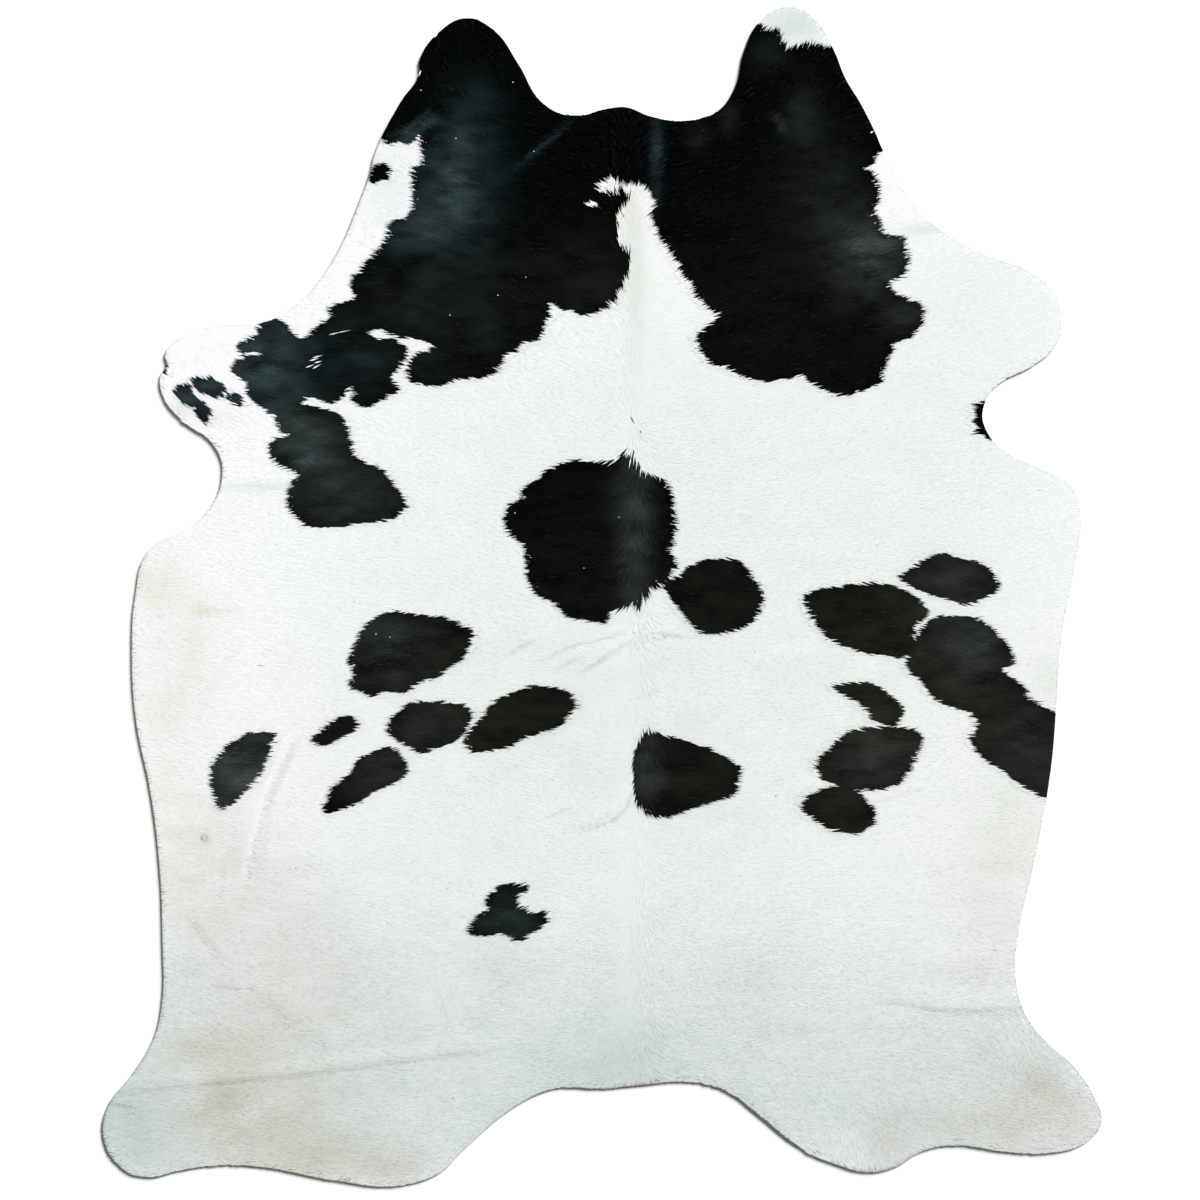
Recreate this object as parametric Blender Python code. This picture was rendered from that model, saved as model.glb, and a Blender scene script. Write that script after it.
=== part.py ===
"""A cowhide rug: one whole hide, cut once round its natural outline, lying hair side up.

Metres, +Z up. The neck points along +Y and the tail along -Y, the floor is z = 0, and the origin is
on the floor in the middle of the hide's length and width. Leather and pile are one solid. The sheet
lies flat but for the soft creases that folding has left in it, where it lifts off the floor.
"""

import math
from collections import namedtuple

import bmesh
import bpy
from mathutils import Vector

# Driving sizes, in metres
HIDE_LENGTH = 2.13  # a seven-foot hide, from the neck's right lobe to the hind shanks
LEATHER = 0.0025
PILE = 0.0030  # the coat as it lies, combed flat
SPINE_PILE = 0.0012  # the coat is this much deeper along the spine
SPINE_HALF_WIDTH = 0.050
MESH_STEP = 0.060  # the flat stretches are cut into squares of this size
CURVE_STEPS = 6  # straight steps between two landmarks of the cut edge
WELD = 0.0004

# The landmarks are places in the photograph, in pixels of its 1200 x 1200 frame, x to the right and
# y down. PHOTO_LENGTH is the hide's length there, from which one pixel measures about 1.8 mm.
PHOTO_LENGTH = 1180.0
PIXEL = HIDE_LENGTH / PHOTO_LENGTH

Landmark = namedtuple("Landmark", "name x y")
Crease = namedtuple("Crease", "name height left right path")

# The cut edge, clockwise from the left lobe of the neck
NECK = (
    ("left lobe, tip", 466, 18),
    ("left lobe, inner shoulder", 494, 30),
    ("left lobe, inner side", 518, 63),
    ("left lobe, root", 543, 103),
    ("left hollow", 574, 116),
    ("middle of the neck, left", 605, 109),
    ("middle of the neck", 626, 107),
    ("middle of the neck, right", 650, 116),
    ("right hollow", 684, 121),
    ("right lobe, root", 716, 112),
    ("right lobe, waist", 735, 87),
    ("right lobe, inner side", 744, 51),
    ("right lobe, inner shoulder", 760, 21),
    ("right lobe, tip", 790, 6.5),
    ("right lobe, outer shoulder", 816, 20),
    ("right lobe, outer side", 835, 52),
    ("right lobe, outer waist", 845, 77),
    ("right cheek", 860, 102),
    ("right throat", 873, 127),
    ("right throat, bend", 887, 158),
    ("right shoulder", 927, 218),
)
RIGHT_FORE_SHANK = (
    ("front edge", 981, 253),
    ("front bend", 1031, 272.5),
    ("end, front corner", 1053, 292),
    ("end", 1062, 320),
    ("end, rear corner", 1056, 346),
    ("rear edge", 1032, 366),
    ("rear bend", 1000, 383),
    ("armpit, front", 984, 406),
    ("armpit", 985, 427),
    ("armpit, rear", 1007, 453),
    ("brisket, front", 1043, 470),
    ("brisket, corner", 1073, 488),
    ("brisket, rear", 1081, 517),
)
RIGHT_FLANK = (
    ("behind the brisket", 1076, 560),
    ("ribs", 1061.5, 640),
    ("belly, front", 1057, 700),
    ("belly", 1051, 770),
    ("belly, rear", 1035, 860),
    ("flank", 1019, 932),
    ("flank hollow", 1016, 975),
    ("flank bend", 1025, 1013),
    ("thigh", 1044, 1040),
)
RIGHT_HIND_SHANK = (
    ("rear bend", 1076, 1069),
    ("outer corner", 1096, 1100),
    ("end", 1102, 1122),
    ("inner corner", 1088, 1141),
    ("end, inner", 1048, 1153),
    ("sole", 1002, 1151),
    ("sole dip", 956, 1145),
    ("sole rise", 922, 1152),
    ("rump point, outer", 894, 1168),
    ("rump point", 866, 1172.5),
    ("rump point, inner", 836, 1164.5),
    ("inner edge", 796, 1145.5),
    ("inner edge, bend", 757, 1114.5),
    ("root", 727, 1092),
)
TAIL = (
    ("right of the tail", 690, 1081.5),
    ("tail cut", 641, 1085.5),
    ("left of the tail", 595, 1088.5),
    ("left of the tail, dip", 571, 1087),
    ("left root", 549, 1090.5),
)
LEFT_HIND_SHANK = (
    ("inner edge, bend", 513, 1108.5),
    ("inner edge", 464, 1150),
    ("rump point, inner", 438, 1174.5),
    ("rump point", 392, 1186),
    ("sole rise", 332, 1180),
    ("sole", 272, 1168.5),
    ("sole dip", 226, 1164.5),
    ("sole, outer", 180, 1171),
    ("end, inner", 145, 1177.5),
    ("outer corner", 118, 1165),
    ("end", 103, 1138),
    ("end, front", 107, 1108),
    ("front bend", 133, 1073),
    ("thigh", 153, 1040),
    ("flank bend", 161.5, 1004),
)
LEFT_FLANK = (
    ("flank", 162, 940),
    ("belly, rear", 159, 866),
    ("belly", 150, 792),
    ("belly, front", 135.5, 720),
    ("ribs", 131.5, 655),
    ("behind the brisket", 135, 595),
    ("brisket, corner", 147, 552),
    ("brisket, front", 175, 534),
)
LEFT_FORE_SHANK = (
    ("armpit, rear", 203, 516),
    ("armpit", 222, 474),
    ("armpit, front", 212, 443),
    ("rear edge", 182, 420),
    ("end, rear corner", 162.5, 395),
    ("end, notch below", 160, 376),
    ("end, notch", 166, 366),
    ("end, notch above", 165, 353),
    ("end, front corner", 179, 338.5),
    ("front edge", 214, 326.5),
    ("front bend", 268, 321),
    ("left shoulder", 301, 300),
    ("left shoulder, front", 320, 279),
    ("left throat, bend", 340, 247),
    ("left throat", 360, 200),
    ("left throat, front", 370, 172),
    ("left cheek, low", 374, 155),
    ("left cheek", 401, 101),
    ("left lobe, notch", 419, 74),
    ("left lobe, outer side", 419.5, 60),
    ("left lobe, outer shoulder", 441, 30),
)
CUT_EDGE = (
    NECK
    + RIGHT_FORE_SHANK
    + RIGHT_FLANK
    + RIGHT_HIND_SHANK
    + TAIL
    + LEFT_HIND_SHANK
    + LEFT_FLANK
    + LEFT_FORE_SHANK
)

# Where the hide was folded, and where it doesn't lie quite flat. Heights and half widths are in
# metres, paths in the photograph's pixels. Left and right are as seen from above when walking
# along the path: the two sides differ, because a fold drops off sharply on one side only.
CREASES = (
    Crease("left fold", 0.0010, 0.024, 0.014,
           ((60, 1095), (176, 1083), (292, 1071.5), (408, 1056.5), (524, 1041))),
    Crease("right fold", 0.0009, 0.040, 0.016,
           ((880, 996), (929, 1006), (976, 1007.5), (1070, 1005))),
    Crease("left belly crease", 0.0009, 0.018, 0.034,
           ((290, 736), (270, 776), (254, 822), (243, 868), (236, 915))),
    Crease("left thigh crease", 0.0004, 0.026, 0.016,
           ((260, 984), (292, 1010), (324, 1037), (340, 1052))),
    Crease("loin ripple, upper", 0.0006, 0.018, 0.012,
           ((568, 678), (600, 658), (628, 641), (657, 632), (690, 634))),
    Crease("loin ripple, lower", 0.0009, 0.018, 0.012,
           ((568, 829), (595, 819), (614, 806), (628, 782))),
    Crease("left cheek crease", 0.0012, 0.014, 0.012,
           ((372, 140), (390, 134), (407, 128), (432, 106))),
    Crease("neck crease", 0.0008, 0.010, 0.010, ((522, 159), (543, 146), (564, 132))),
)
SPINE = ((627, 182), (636, 424), (641, 760), (641, 1060))

HAIR_COLOUR = (0.86, 0.88, 0.86, 1.0)
HAIR_ROUGHNESS = 0.65


def on_hide(place):
    """A place in the photograph as metres on the floor, before the origin is centred."""
    return Vector((place[0] * PIXEL, -place[1] * PIXEL))


def outline_curve(landmarks):
    """A filled flat curve that runs smoothly through the landmarks."""
    curve = bpy.data.curves.new("cut edge", "CURVE")
    curve.dimensions = "2D"
    curve.fill_mode = "BOTH"
    curve.resolution_u = CURVE_STEPS
    spline = curve.splines.new("BEZIER")
    spline.use_cyclic_u = True
    spline.bezier_points.add(len(landmarks) - 1)
    for knot, landmark in zip(spline.bezier_points, landmarks):
        knot.co = on_hide((landmark.x, landmark.y)).to_3d()
        knot.handle_left_type = "AUTO"
        knot.handle_right_type = "AUTO"
    return bpy.data.objects.new("cut edge", curve)


def flat_face(outline):
    """The outline's inside as one flat many-sided face, in a bmesh."""
    bpy.context.scene.collection.objects.link(outline)
    evaluated = outline.evaluated_get(bpy.context.evaluated_depsgraph_get())
    mesh = bpy.data.meshes.new_from_object(evaluated)
    bpy.data.objects.remove(outline)
    cloth = bmesh.new()
    cloth.from_mesh(mesh)
    bpy.data.meshes.remove(mesh)
    bmesh.ops.remove_doubles(cloth, verts=cloth.verts, dist=WELD)
    bmesh.ops.dissolve_faces(cloth, faces=cloth.faces[:])
    return cloth


def cut_along(cloth, faces, point, across):
    """Cuts these faces along the upright plane through a point, whose normal is across."""
    edges = {edge for face in faces for edge in face.edges}
    verts = {vert for face in faces for vert in face.verts}
    bmesh.ops.bisect_plane(
        cloth,
        geom=[*verts, *edges, *faces],
        dist=WELD,
        plane_co=point.to_3d(),
        plane_no=across.to_3d(),
    )


def cut_squares(cloth):
    """Cuts the whole sheet into squares of MESH_STEP, so that it can bend anywhere."""
    for axis, across in enumerate((Vector((1, 0)), Vector((0, 1)))):
        reach = [vert.co[axis] for vert in cloth.verts]
        first = math.ceil(min(reach) / MESH_STEP)
        last = math.floor(max(reach) / MESH_STEP)
        for line in range(first, last + 1):
            cut_along(cloth, cloth.faces[:], across * line * MESH_STEP, across)


def leftwards(start, end):
    """The unit direction to the left of a straight stretch, as seen from above."""
    run = (end - start).normalized()
    return Vector((-run.y, run.x))


def nearest_on(path, place):
    """How far a place is to the left of a path of straight stretches (to the right is negative),
    and how far along it, from 0 to 1."""
    best, best_along = math.inf, 0.0
    stretches = len(path) - 1
    for index in range(stretches):
        start, end = path[index], path[index + 1]
        run = end - start
        share = min(max((place - start).dot(run) / run.length_squared, 0.0), 1.0)
        away = place - start - run * share
        if away.length < abs(best):
            best = math.copysign(away.length, away.dot(leftwards(start, end)))
            best_along = (index + share) / stretches
    return best, best_along


def faces_near(cloth, path, half_width):
    """The faces that a crease of this half width touches, and those next to them."""
    reach = half_width + MESH_STEP / 4
    return [
        face
        for face in cloth.faces
        if abs(nearest_on(path, face.calc_center_median().xy)[0]) < reach
    ]


def cut_creases(cloth):
    """Cuts each crease's crest, shoulders and feet into the sheet, so that its ridge is smooth."""
    for crease in CREASES:
        path = [on_hide(place) for place in crease.path]
        widest = max(crease.left, crease.right)
        for start, end in zip(path, path[1:]):
            left = leftwards(start, end)
            for offset in (crease.left, crease.left / 2, 0.0, -crease.right / 2, -crease.right):
                cut_along(cloth, faces_near(cloth, (start, end), widest), start + left * offset, left)


def lift_at(place):
    """How far the creases lift the sheet off the floor here: rounded ridges that fade at both ends."""
    lift = 0.0
    for crease in CREASES:
        offset, along = nearest_on([on_hide(stop) for stop in crease.path], place)
        half_width = crease.left if offset > 0 else crease.right
        if abs(offset) < half_width:
            ridge = math.cos(math.pi / 2 * offset / half_width) ** 2
            fade = math.sin(math.pi * along) ** 0.5
            lift = max(lift, crease.height * ridge * fade)
    return lift


def depth_at(place):
    """Leather and coat together, a little deeper along the spine."""
    offset, along = nearest_on([on_hide(stop) for stop in SPINE], place)
    ridge = math.cos(math.pi / 2 * min(abs(offset) / SPINE_HALF_WIDTH, 1.0)) ** 2
    return LEATHER + PILE + SPINE_PILE * ridge * math.sin(math.pi * along) ** 0.5


def thicken(cloth):
    """Gives the flat sheet its creases and its thickness, as one closed body."""
    under = cloth.faces[:]
    made = bmesh.ops.extrude_face_region(cloth, geom=under, use_keep_orig=True)
    top = {item for item in made["geom"] if isinstance(item, bmesh.types.BMVert)}
    for vert in cloth.verts:
        place = vert.co.xy
        vert.co.z = lift_at(place) + (depth_at(place) if vert in top else 0.0)
    bmesh.ops.triangulate(cloth, faces=cloth.faces[:])
    bmesh.ops.recalc_face_normals(cloth, faces=cloth.faces[:])


def centre(cloth):
    """Moves the sheet so that the origin is in the middle of its length and width."""
    across = [vert.co.x for vert in cloth.verts]
    along = [vert.co.y for vert in cloth.verts]
    middle = Vector((min(across) + max(across), min(along) + max(along), 0.0)) / 2
    bmesh.ops.translate(cloth, verts=cloth.verts, vec=-middle)


def hair_material():
    """The coat's main colour, a cool white."""
    material = bpy.data.materials.new("white hair")
    material.use_nodes = True
    shader = material.node_tree.nodes["Principled BSDF"]
    shader.inputs["Base Color"].default_value = HAIR_COLOUR
    shader.inputs["Roughness"].default_value = HAIR_ROUGHNESS
    shader.inputs["Metallic"].default_value = 0.0
    return material


def build_hide(rug):
    """The one piece: the whole hide."""
    cloth = flat_face(outline_curve([Landmark(*row) for row in CUT_EDGE]))
    cut_squares(cloth)
    cut_creases(cloth)
    bmesh.ops.remove_doubles(cloth, verts=cloth.verts, dist=WELD)
    thicken(cloth)
    centre(cloth)
    mesh = bpy.data.meshes.new("hide")
    cloth.to_mesh(mesh)
    cloth.free()
    mesh.materials.append(hair_material())
    hide = bpy.data.objects.new("hide", mesh)
    rug.objects.link(hide)
    return hide


def main():
    for old in list(bpy.data.objects):
        bpy.data.objects.remove(old)
    rug = bpy.data.collections.new("cowhide_rug")
    bpy.context.scene.collection.children.link(rug)
    build_hide(rug)


main()
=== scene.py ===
# %% [markdown]
# # A cowhide rug, hair side up
#
# The real rug is one whole tanned hide, cut once round its natural outline. There is
# nothing to sew or screw: a sheet of leather 2.5 mm thick, and the animal's own coat on
# top of it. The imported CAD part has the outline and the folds, and this script gives the
# leather its two faces and grows the coat on it, lock by lock. Everything is in metres,
# in the frame of the CAD part, with +Y towards the neck and the underside at z = 0.

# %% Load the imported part
import math
from collections import namedtuple

import bmesh
import bpy
import numpy as np
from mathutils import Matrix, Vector
from mathutils.geometry import delaunay_2d_cdt


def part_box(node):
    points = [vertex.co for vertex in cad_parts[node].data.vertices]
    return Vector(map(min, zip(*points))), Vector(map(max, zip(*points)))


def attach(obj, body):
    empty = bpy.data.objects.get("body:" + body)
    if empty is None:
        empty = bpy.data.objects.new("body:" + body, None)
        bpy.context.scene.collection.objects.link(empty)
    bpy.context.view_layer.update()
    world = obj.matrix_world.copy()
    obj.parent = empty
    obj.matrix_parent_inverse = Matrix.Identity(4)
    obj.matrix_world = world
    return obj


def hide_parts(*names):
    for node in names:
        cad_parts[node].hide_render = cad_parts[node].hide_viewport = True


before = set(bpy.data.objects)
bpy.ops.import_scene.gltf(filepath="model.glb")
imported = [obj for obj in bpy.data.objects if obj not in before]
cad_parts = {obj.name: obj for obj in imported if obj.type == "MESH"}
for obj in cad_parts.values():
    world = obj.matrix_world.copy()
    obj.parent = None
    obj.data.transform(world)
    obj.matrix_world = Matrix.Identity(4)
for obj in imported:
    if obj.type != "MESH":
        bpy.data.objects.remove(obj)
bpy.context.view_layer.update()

hide_low, hide_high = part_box("hide")

# %% [markdown]
# ## From the photograph to metres
#
# The photograph looks straight down on the rug, so one scale turns its pixels into
# metres. The hide's 2.13 m are 1180 pixels of it. Every landmark below is a point read
# in the 1200 x 1200 pixel photograph: x to the right, y downwards.

# %% Photograph scale
PHOTO_WIDTH = 1200
PHOTO_LENGTH = 1180.0                  # pixels from the neck to the hind feet
HIDE_LENGTH = 2.13
PIXEL = HIDE_LENGTH / PHOTO_LENGTH
PHOTO_MIDDLE = (602.22, 596.44)        # the pixel over the middle of the rug's box


def on_floor(pixels):
    """Rows of photograph x, y as rows of x, y in metres on the floor."""
    pixels = np.asarray(pixels, float).reshape(-1, 2)
    return np.column_stack((
        (pixels[:, 0] - PHOTO_MIDDLE[0]) * PIXEL,
        (PHOTO_MIDDLE[1] - pixels[:, 1]) * PIXEL,
    ))


def in_photo(places):
    """Rows of x, y in metres as rows of photograph x, y."""
    return np.column_stack((
        places[:, 0] / PIXEL + PHOTO_MIDDLE[0],
        PHOTO_MIDDLE[1] - places[:, 1] / PIXEL,
    ))


print("one photograph pixel is", round(PIXEL * 1000, 3), "mm")

# %% [markdown]
# ## Camera and light
#
# The camera hangs straight above the rug. The light is a studio's: a white room all
# round, and one broad lamp low at the upper right, which draws the thin shadow under the
# left and lower edges and shows up the folds. The photograph has a pure white ground, so
# the plain "Standard" view is used, in which white paper can reach full white.

# %% Camera
LENS_MM = 80.0
SENSOR_MM = 36.0
COAT_TOP = 0.005

frame_width = PHOTO_WIDTH * PIXEL
camera_over = on_floor((PHOTO_WIDTH / 2, PHOTO_WIDTH / 2))[0]
camera_data = bpy.data.cameras.new("camera")
camera_data.lens = LENS_MM
camera_data.sensor_width = SENSOR_MM
camera = bpy.data.objects.new("camera", camera_data)
camera.location = (*camera_over, COAT_TOP + frame_width * LENS_MM / SENSOR_MM)
bpy.context.scene.collection.objects.link(camera)
bpy.context.scene.camera = camera
bpy.context.scene.view_settings.view_transform = "Standard"
print("camera", round(camera.location.z, 3), "m above the floor")

# %% Colours and nodes


def colour(hex_code, alpha=1.0):
    """An sRGB hex colour as the linear values that Blender's sockets take."""
    channels = [int(hex_code[i:i + 2], 16) / 255 for i in (1, 3, 5)]
    linear = [c / 12.92 if c <= 0.04045 else ((c + 0.055) / 1.055) ** 2.4 for c in channels]
    return (*linear, alpha)


def add(tree, kind, inputs=None, **settings):
    """Add one node, set its properties, then set or link its inputs by name or number."""
    node = tree.nodes.new(kind)
    for name, value in settings.items():
        setattr(node, name, value)
    for name, value in (inputs or {}).items():
        if isinstance(value, bpy.types.NodeSocket):
            tree.links.new(value, node.inputs[name])
        else:
            node.inputs[name].default_value = value
    return node


def new_material(name, roughness, gloss):
    """A material, its node tree and its shader, as rough and glossy all over as given."""
    material = bpy.data.materials.new(name)
    material.use_nodes = True
    shader = material.node_tree.nodes["Principled BSDF"]
    shader.inputs["Roughness"].default_value = roughness
    shader.inputs["Specular IOR Level"].default_value = gloss
    return material, material.node_tree, shader


print("colour and node helpers ready")

# %% Studio light
ROOM_LIGHT = 0.14
LAMP_STRENGTH = 6.08
LAMP_HEIGHT = math.radians(30)         # above the horizon
LAMP_SIDE = math.radians(50)           # from +X round towards the neck
LAMP_SPREAD = math.radians(26)

room = bpy.data.worlds.new("white studio")
room.use_nodes = True
room.node_tree.nodes["Background"].inputs["Color"].default_value = (1.0, 1.0, 1.0, 1.0)
room.node_tree.nodes["Background"].inputs["Strength"].default_value = ROOM_LIGHT
bpy.context.scene.world = room

lamp_data = bpy.data.lights.new("broad lamp", "SUN")
lamp_data.energy = LAMP_STRENGTH
lamp_data.angle = LAMP_SPREAD
lamp = bpy.data.objects.new("broad lamp", lamp_data)
lamp_from = Vector((
    math.cos(LAMP_HEIGHT) * math.cos(LAMP_SIDE),
    math.cos(LAMP_HEIGHT) * math.sin(LAMP_SIDE),
    math.sin(LAMP_HEIGHT),
))
lamp.rotation_euler = lamp_from.to_track_quat("Z", "Y").to_euler()
lamp.location = lamp_from * 3
bpy.context.scene.collection.objects.link(lamp)
print("lamp", round(math.degrees(LAMP_HEIGHT)), "degrees above the floor")

# %% [markdown]
# ## The floor
#
# White photographer's card, not part of the rug. Its top is a fifth of a millimetre
# below the leather, so the two faces never coincide.

# %% White card floor
FLOOR_HALF = 7.0
FLOOR_Z = -0.0002

card_mesh = bpy.data.meshes.new("floor_card")
card_mesh.from_pydata(
    [(-FLOOR_HALF, -FLOOR_HALF, FLOOR_Z), (FLOOR_HALF, -FLOOR_HALF, FLOOR_Z),
     (FLOOR_HALF, FLOOR_HALF, FLOOR_Z), (-FLOOR_HALF, FLOOR_HALF, FLOOR_Z)],
    [], [(0, 1, 2, 3)],
)
floor_card = bpy.data.objects.new("floor_card", card_mesh)
bpy.context.scene.collection.objects.link(floor_card)

white_card, _, card_shader = new_material("white card, matt", roughness=0.9, gloss=0.1)
card_shader.inputs["Base Color"].default_value = colour("#FAFAFA")
card_mesh.materials.append(white_card)
print("floor", 2 * FLOOR_HALF, "m wide")

# %% [markdown]
# ## Helpers for shapes
#
# Patches of colour are closed loops through a few listed points. A Catmull-Rom curve
# rounds them, and the distance to the nearest edge of the loop says how far inside or
# outside a place is. Soft noise is a grid of random heights with smooth blends between.

# %% Loops, distances and soft noise
NOISE_GRID = 256                       # blobs to each side, after which the noise repeats


def smooth_loop(points, steps=4):
    """A closed Catmull-Rom curve through the points, steps places for each stretch."""
    points = np.asarray(points, float)
    before, after, beyond = (np.roll(points, shift, 0) for shift in (1, -1, -2))
    before, points, after, beyond = (p[:, None, :] for p in (before, points, after, beyond))
    t = (np.arange(steps) / steps)[None, :, None]
    curve = (
        2 * points + (after - before) * t
        + (2 * before - 5 * points + 4 * after - beyond) * t ** 2
        + (3 * points - before - 3 * after + beyond) * t ** 3
    ) / 2
    return curve.reshape(-1, 2)


def depth_in(loop, places, reach=1e9, batch=6000):
    """Distance from each place to the loop's edge: positive inside, negative outside."""
    depth = np.full(len(places), -reach)
    near = np.all((places > loop.min(0) - reach) & (places < loop.max(0) + reach), axis=1)
    chosen = np.flatnonzero(near)
    start, run = loop, np.roll(loop, -1, 0) - loop
    run_squared = np.maximum((run ** 2).sum(1), 1e-18)
    rise = np.where(run[:, 1] == 0, 1e-18, run[:, 1])
    for first in range(0, len(chosen), batch):
        rows = chosen[first:first + batch]
        away_x = places[rows, 0, None] - start[:, 0]
        away_y = places[rows, 1, None] - start[:, 1]
        along = np.clip((away_x * run[:, 0] + away_y * run[:, 1]) / run_squared, 0, 1)
        gap = (away_x - along * run[:, 0]) ** 2 + (away_y - along * run[:, 1]) ** 2
        crossing = (away_y < 0) != (away_y - run[:, 1] < 0)
        to_the_left = away_x < away_y / rise * run[:, 0]
        inside = (crossing & to_the_left).sum(1) % 2 == 1
        depth[rows] = np.sqrt(gap.min(1)) * np.where(inside, 1, -1)
    return depth


def soft_noise(places, size, seed, stretch=(1.0, 1.0)):
    """Smooth random values from -1 to 1 in blobs of the given size in metres."""
    heights = np.random.default_rng(seed).uniform(-1, 1, (NOISE_GRID, NOISE_GRID))
    grid = places / (np.array(stretch) * size)
    cell = np.floor(grid).astype(int)
    part = grid - cell
    part = part * part * (3 - 2 * part)

    def corner(right, up):
        return heights[(cell[:, 0] + right) % NOISE_GRID, (cell[:, 1] + up) % NOISE_GRID]

    lower = corner(0, 0) * (1 - part[:, 0]) + corner(1, 0) * part[:, 0]
    upper = corner(0, 1) * (1 - part[:, 0]) + corner(1, 1) * part[:, 0]
    return lower * (1 - part[:, 1]) + upper * part[:, 1]


def ease(value, low, high):
    """0 below low, 1 above high, and a soft step between."""
    step = np.clip((value - low) / (high - low), 0, 1)
    return step * step * (3 - 2 * step)


print("shape helpers ready")

# %% [markdown]
# ## The folds
#
# The rug was folded for transport, and the folds still stand up as soft ridges, the
# highest a little over a millimetre. They are the same ridges as in the CAD part: each is
# a path, a height, and a half width to its left and to its right as one walks along it,
# because a fold drops off sharply on one side only. The leather lifts off the floor
# there, and the ridge fades out at both ends.

# %% Folds
Crease = namedtuple("Crease", "name height left right path")

FOLDS = (
    Crease("left fold", 0.0010, 0.024, 0.014, (
        (60, 1095), (176, 1083), (292, 1071.5), (408, 1056.5), (524, 1041),
    )),
    Crease("right fold", 0.0009, 0.040, 0.016, (
        (880, 996), (929, 1006), (976, 1007.5), (1070, 1005),
    )),
    Crease("left belly crease", 0.0009, 0.018, 0.034, (
        (290, 736), (270, 776), (254, 822), (243, 868), (236, 915),
    )),
    Crease("left thigh crease", 0.0004, 0.026, 0.016, (
        (260, 984), (292, 1010), (324, 1037), (340, 1052),
    )),
    Crease("loin ripple, upper", 0.0006, 0.018, 0.012, (
        (568, 678), (600, 658), (628, 641), (657, 632), (690, 634),
    )),
    Crease("loin ripple, lower", 0.0009, 0.018, 0.012, (
        (568, 829), (595, 819), (614, 806), (628, 782),
    )),
    Crease("left cheek crease", 0.0012, 0.014, 0.012, (
        (372, 140), (390, 134), (407, 128), (432, 106),
    )),
    Crease("neck crease", 0.0008, 0.010, 0.010, ((522, 159), (543, 146), (564, 132))),
)
SPINE = ((627, 182), (636, 424), (641, 760), (641, 1060))


def rows_near(path, places, reach):
    """Which of the places lie in the box round a path, widened by reach."""
    path = on_floor(path)
    inside = (places > path.min(0) - reach) & (places < path.max(0) + reach)
    return np.flatnonzero(inside.all(axis=1))


def near_path(path, places):
    """How far each place is to the left of a path of photograph points, in metres, with
    the right as negative, and how far along the path it is, from 0 to 1."""
    path = on_floor(path)
    stretches = len(path) - 1
    best = np.full(len(places), 1e9)
    along = np.zeros(len(places))
    for index in range(stretches):
        run = path[index + 1] - path[index]
        leftwards = np.array((-run[1], run[0]))
        share = np.clip((places - path[index]) @ run / (run @ run), 0, 1)
        away = places - path[index] - share[:, None] * run
        gap = np.copysign(np.linalg.norm(away, axis=1), away @ leftwards)
        closer = np.abs(gap) < np.abs(best)
        best = np.where(closer, gap, best)
        along = np.where(closer, (index + share) / stretches, along)
    return best, along


def ridge(path, left, right, places):
    """A soft ridge of height 1 along a path, which fades out at its ends."""
    shape = np.zeros(len(places))
    rows = rows_near(path, places, max(left, right))
    gap, along = near_path(path, places[rows])
    half_width = np.where(gap > 0, left, right)
    across = np.cos(math.pi / 2 * np.clip(gap / half_width, -1, 1)) ** 2
    shape[rows] = across * np.sqrt(np.clip(np.sin(math.pi * along), 0, 1))
    return shape


def lift(places):
    """How far the leather's underside is off the floor."""
    return np.max([
        fold.height * ridge(fold.path, fold.left, fold.right, places) for fold in FOLDS
    ], axis=0)


print(len(FOLDS), "folds, the highest", max(fold.height for fold in FOLDS) * 1000, "mm")

# %% [markdown]
# ## The coat's own surface
#
# Beside a fold, and where the hide was rolled, the coat parts in fine troughs that are
# too shallow for the leather to show. The shade in them is painted into the hair's colour
# as a darker grey. Each parting is a path with a depth and a share of painted shade, and
# one without depth is a broad soft painted shade only, with no trough. On the hind parts
# the coat is longer and lies in waves of some hundredths of a millimetre.

# %% Partings and waves
LEATHER = 0.0025
UNDERFUR = 0.0019
FUR_FLOOR = LEATHER + UNDERFUR         # the height at which the locks start
WAVE_SIZE = 0.007
WAVE_STRETCH = (3.0, 1.0)
WAVE_HEIGHT = 0.00004
CALM = 0.2                             # share of the waves' height on the back
HIND_ROWS = (820, 1020)                # photograph rows over which the coat gets longer
# depth is the trough's depth in metres; shade is the share of painted shade in the colour
Parting = namedtuple("Parting", "name half_width depth shade path")

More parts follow.
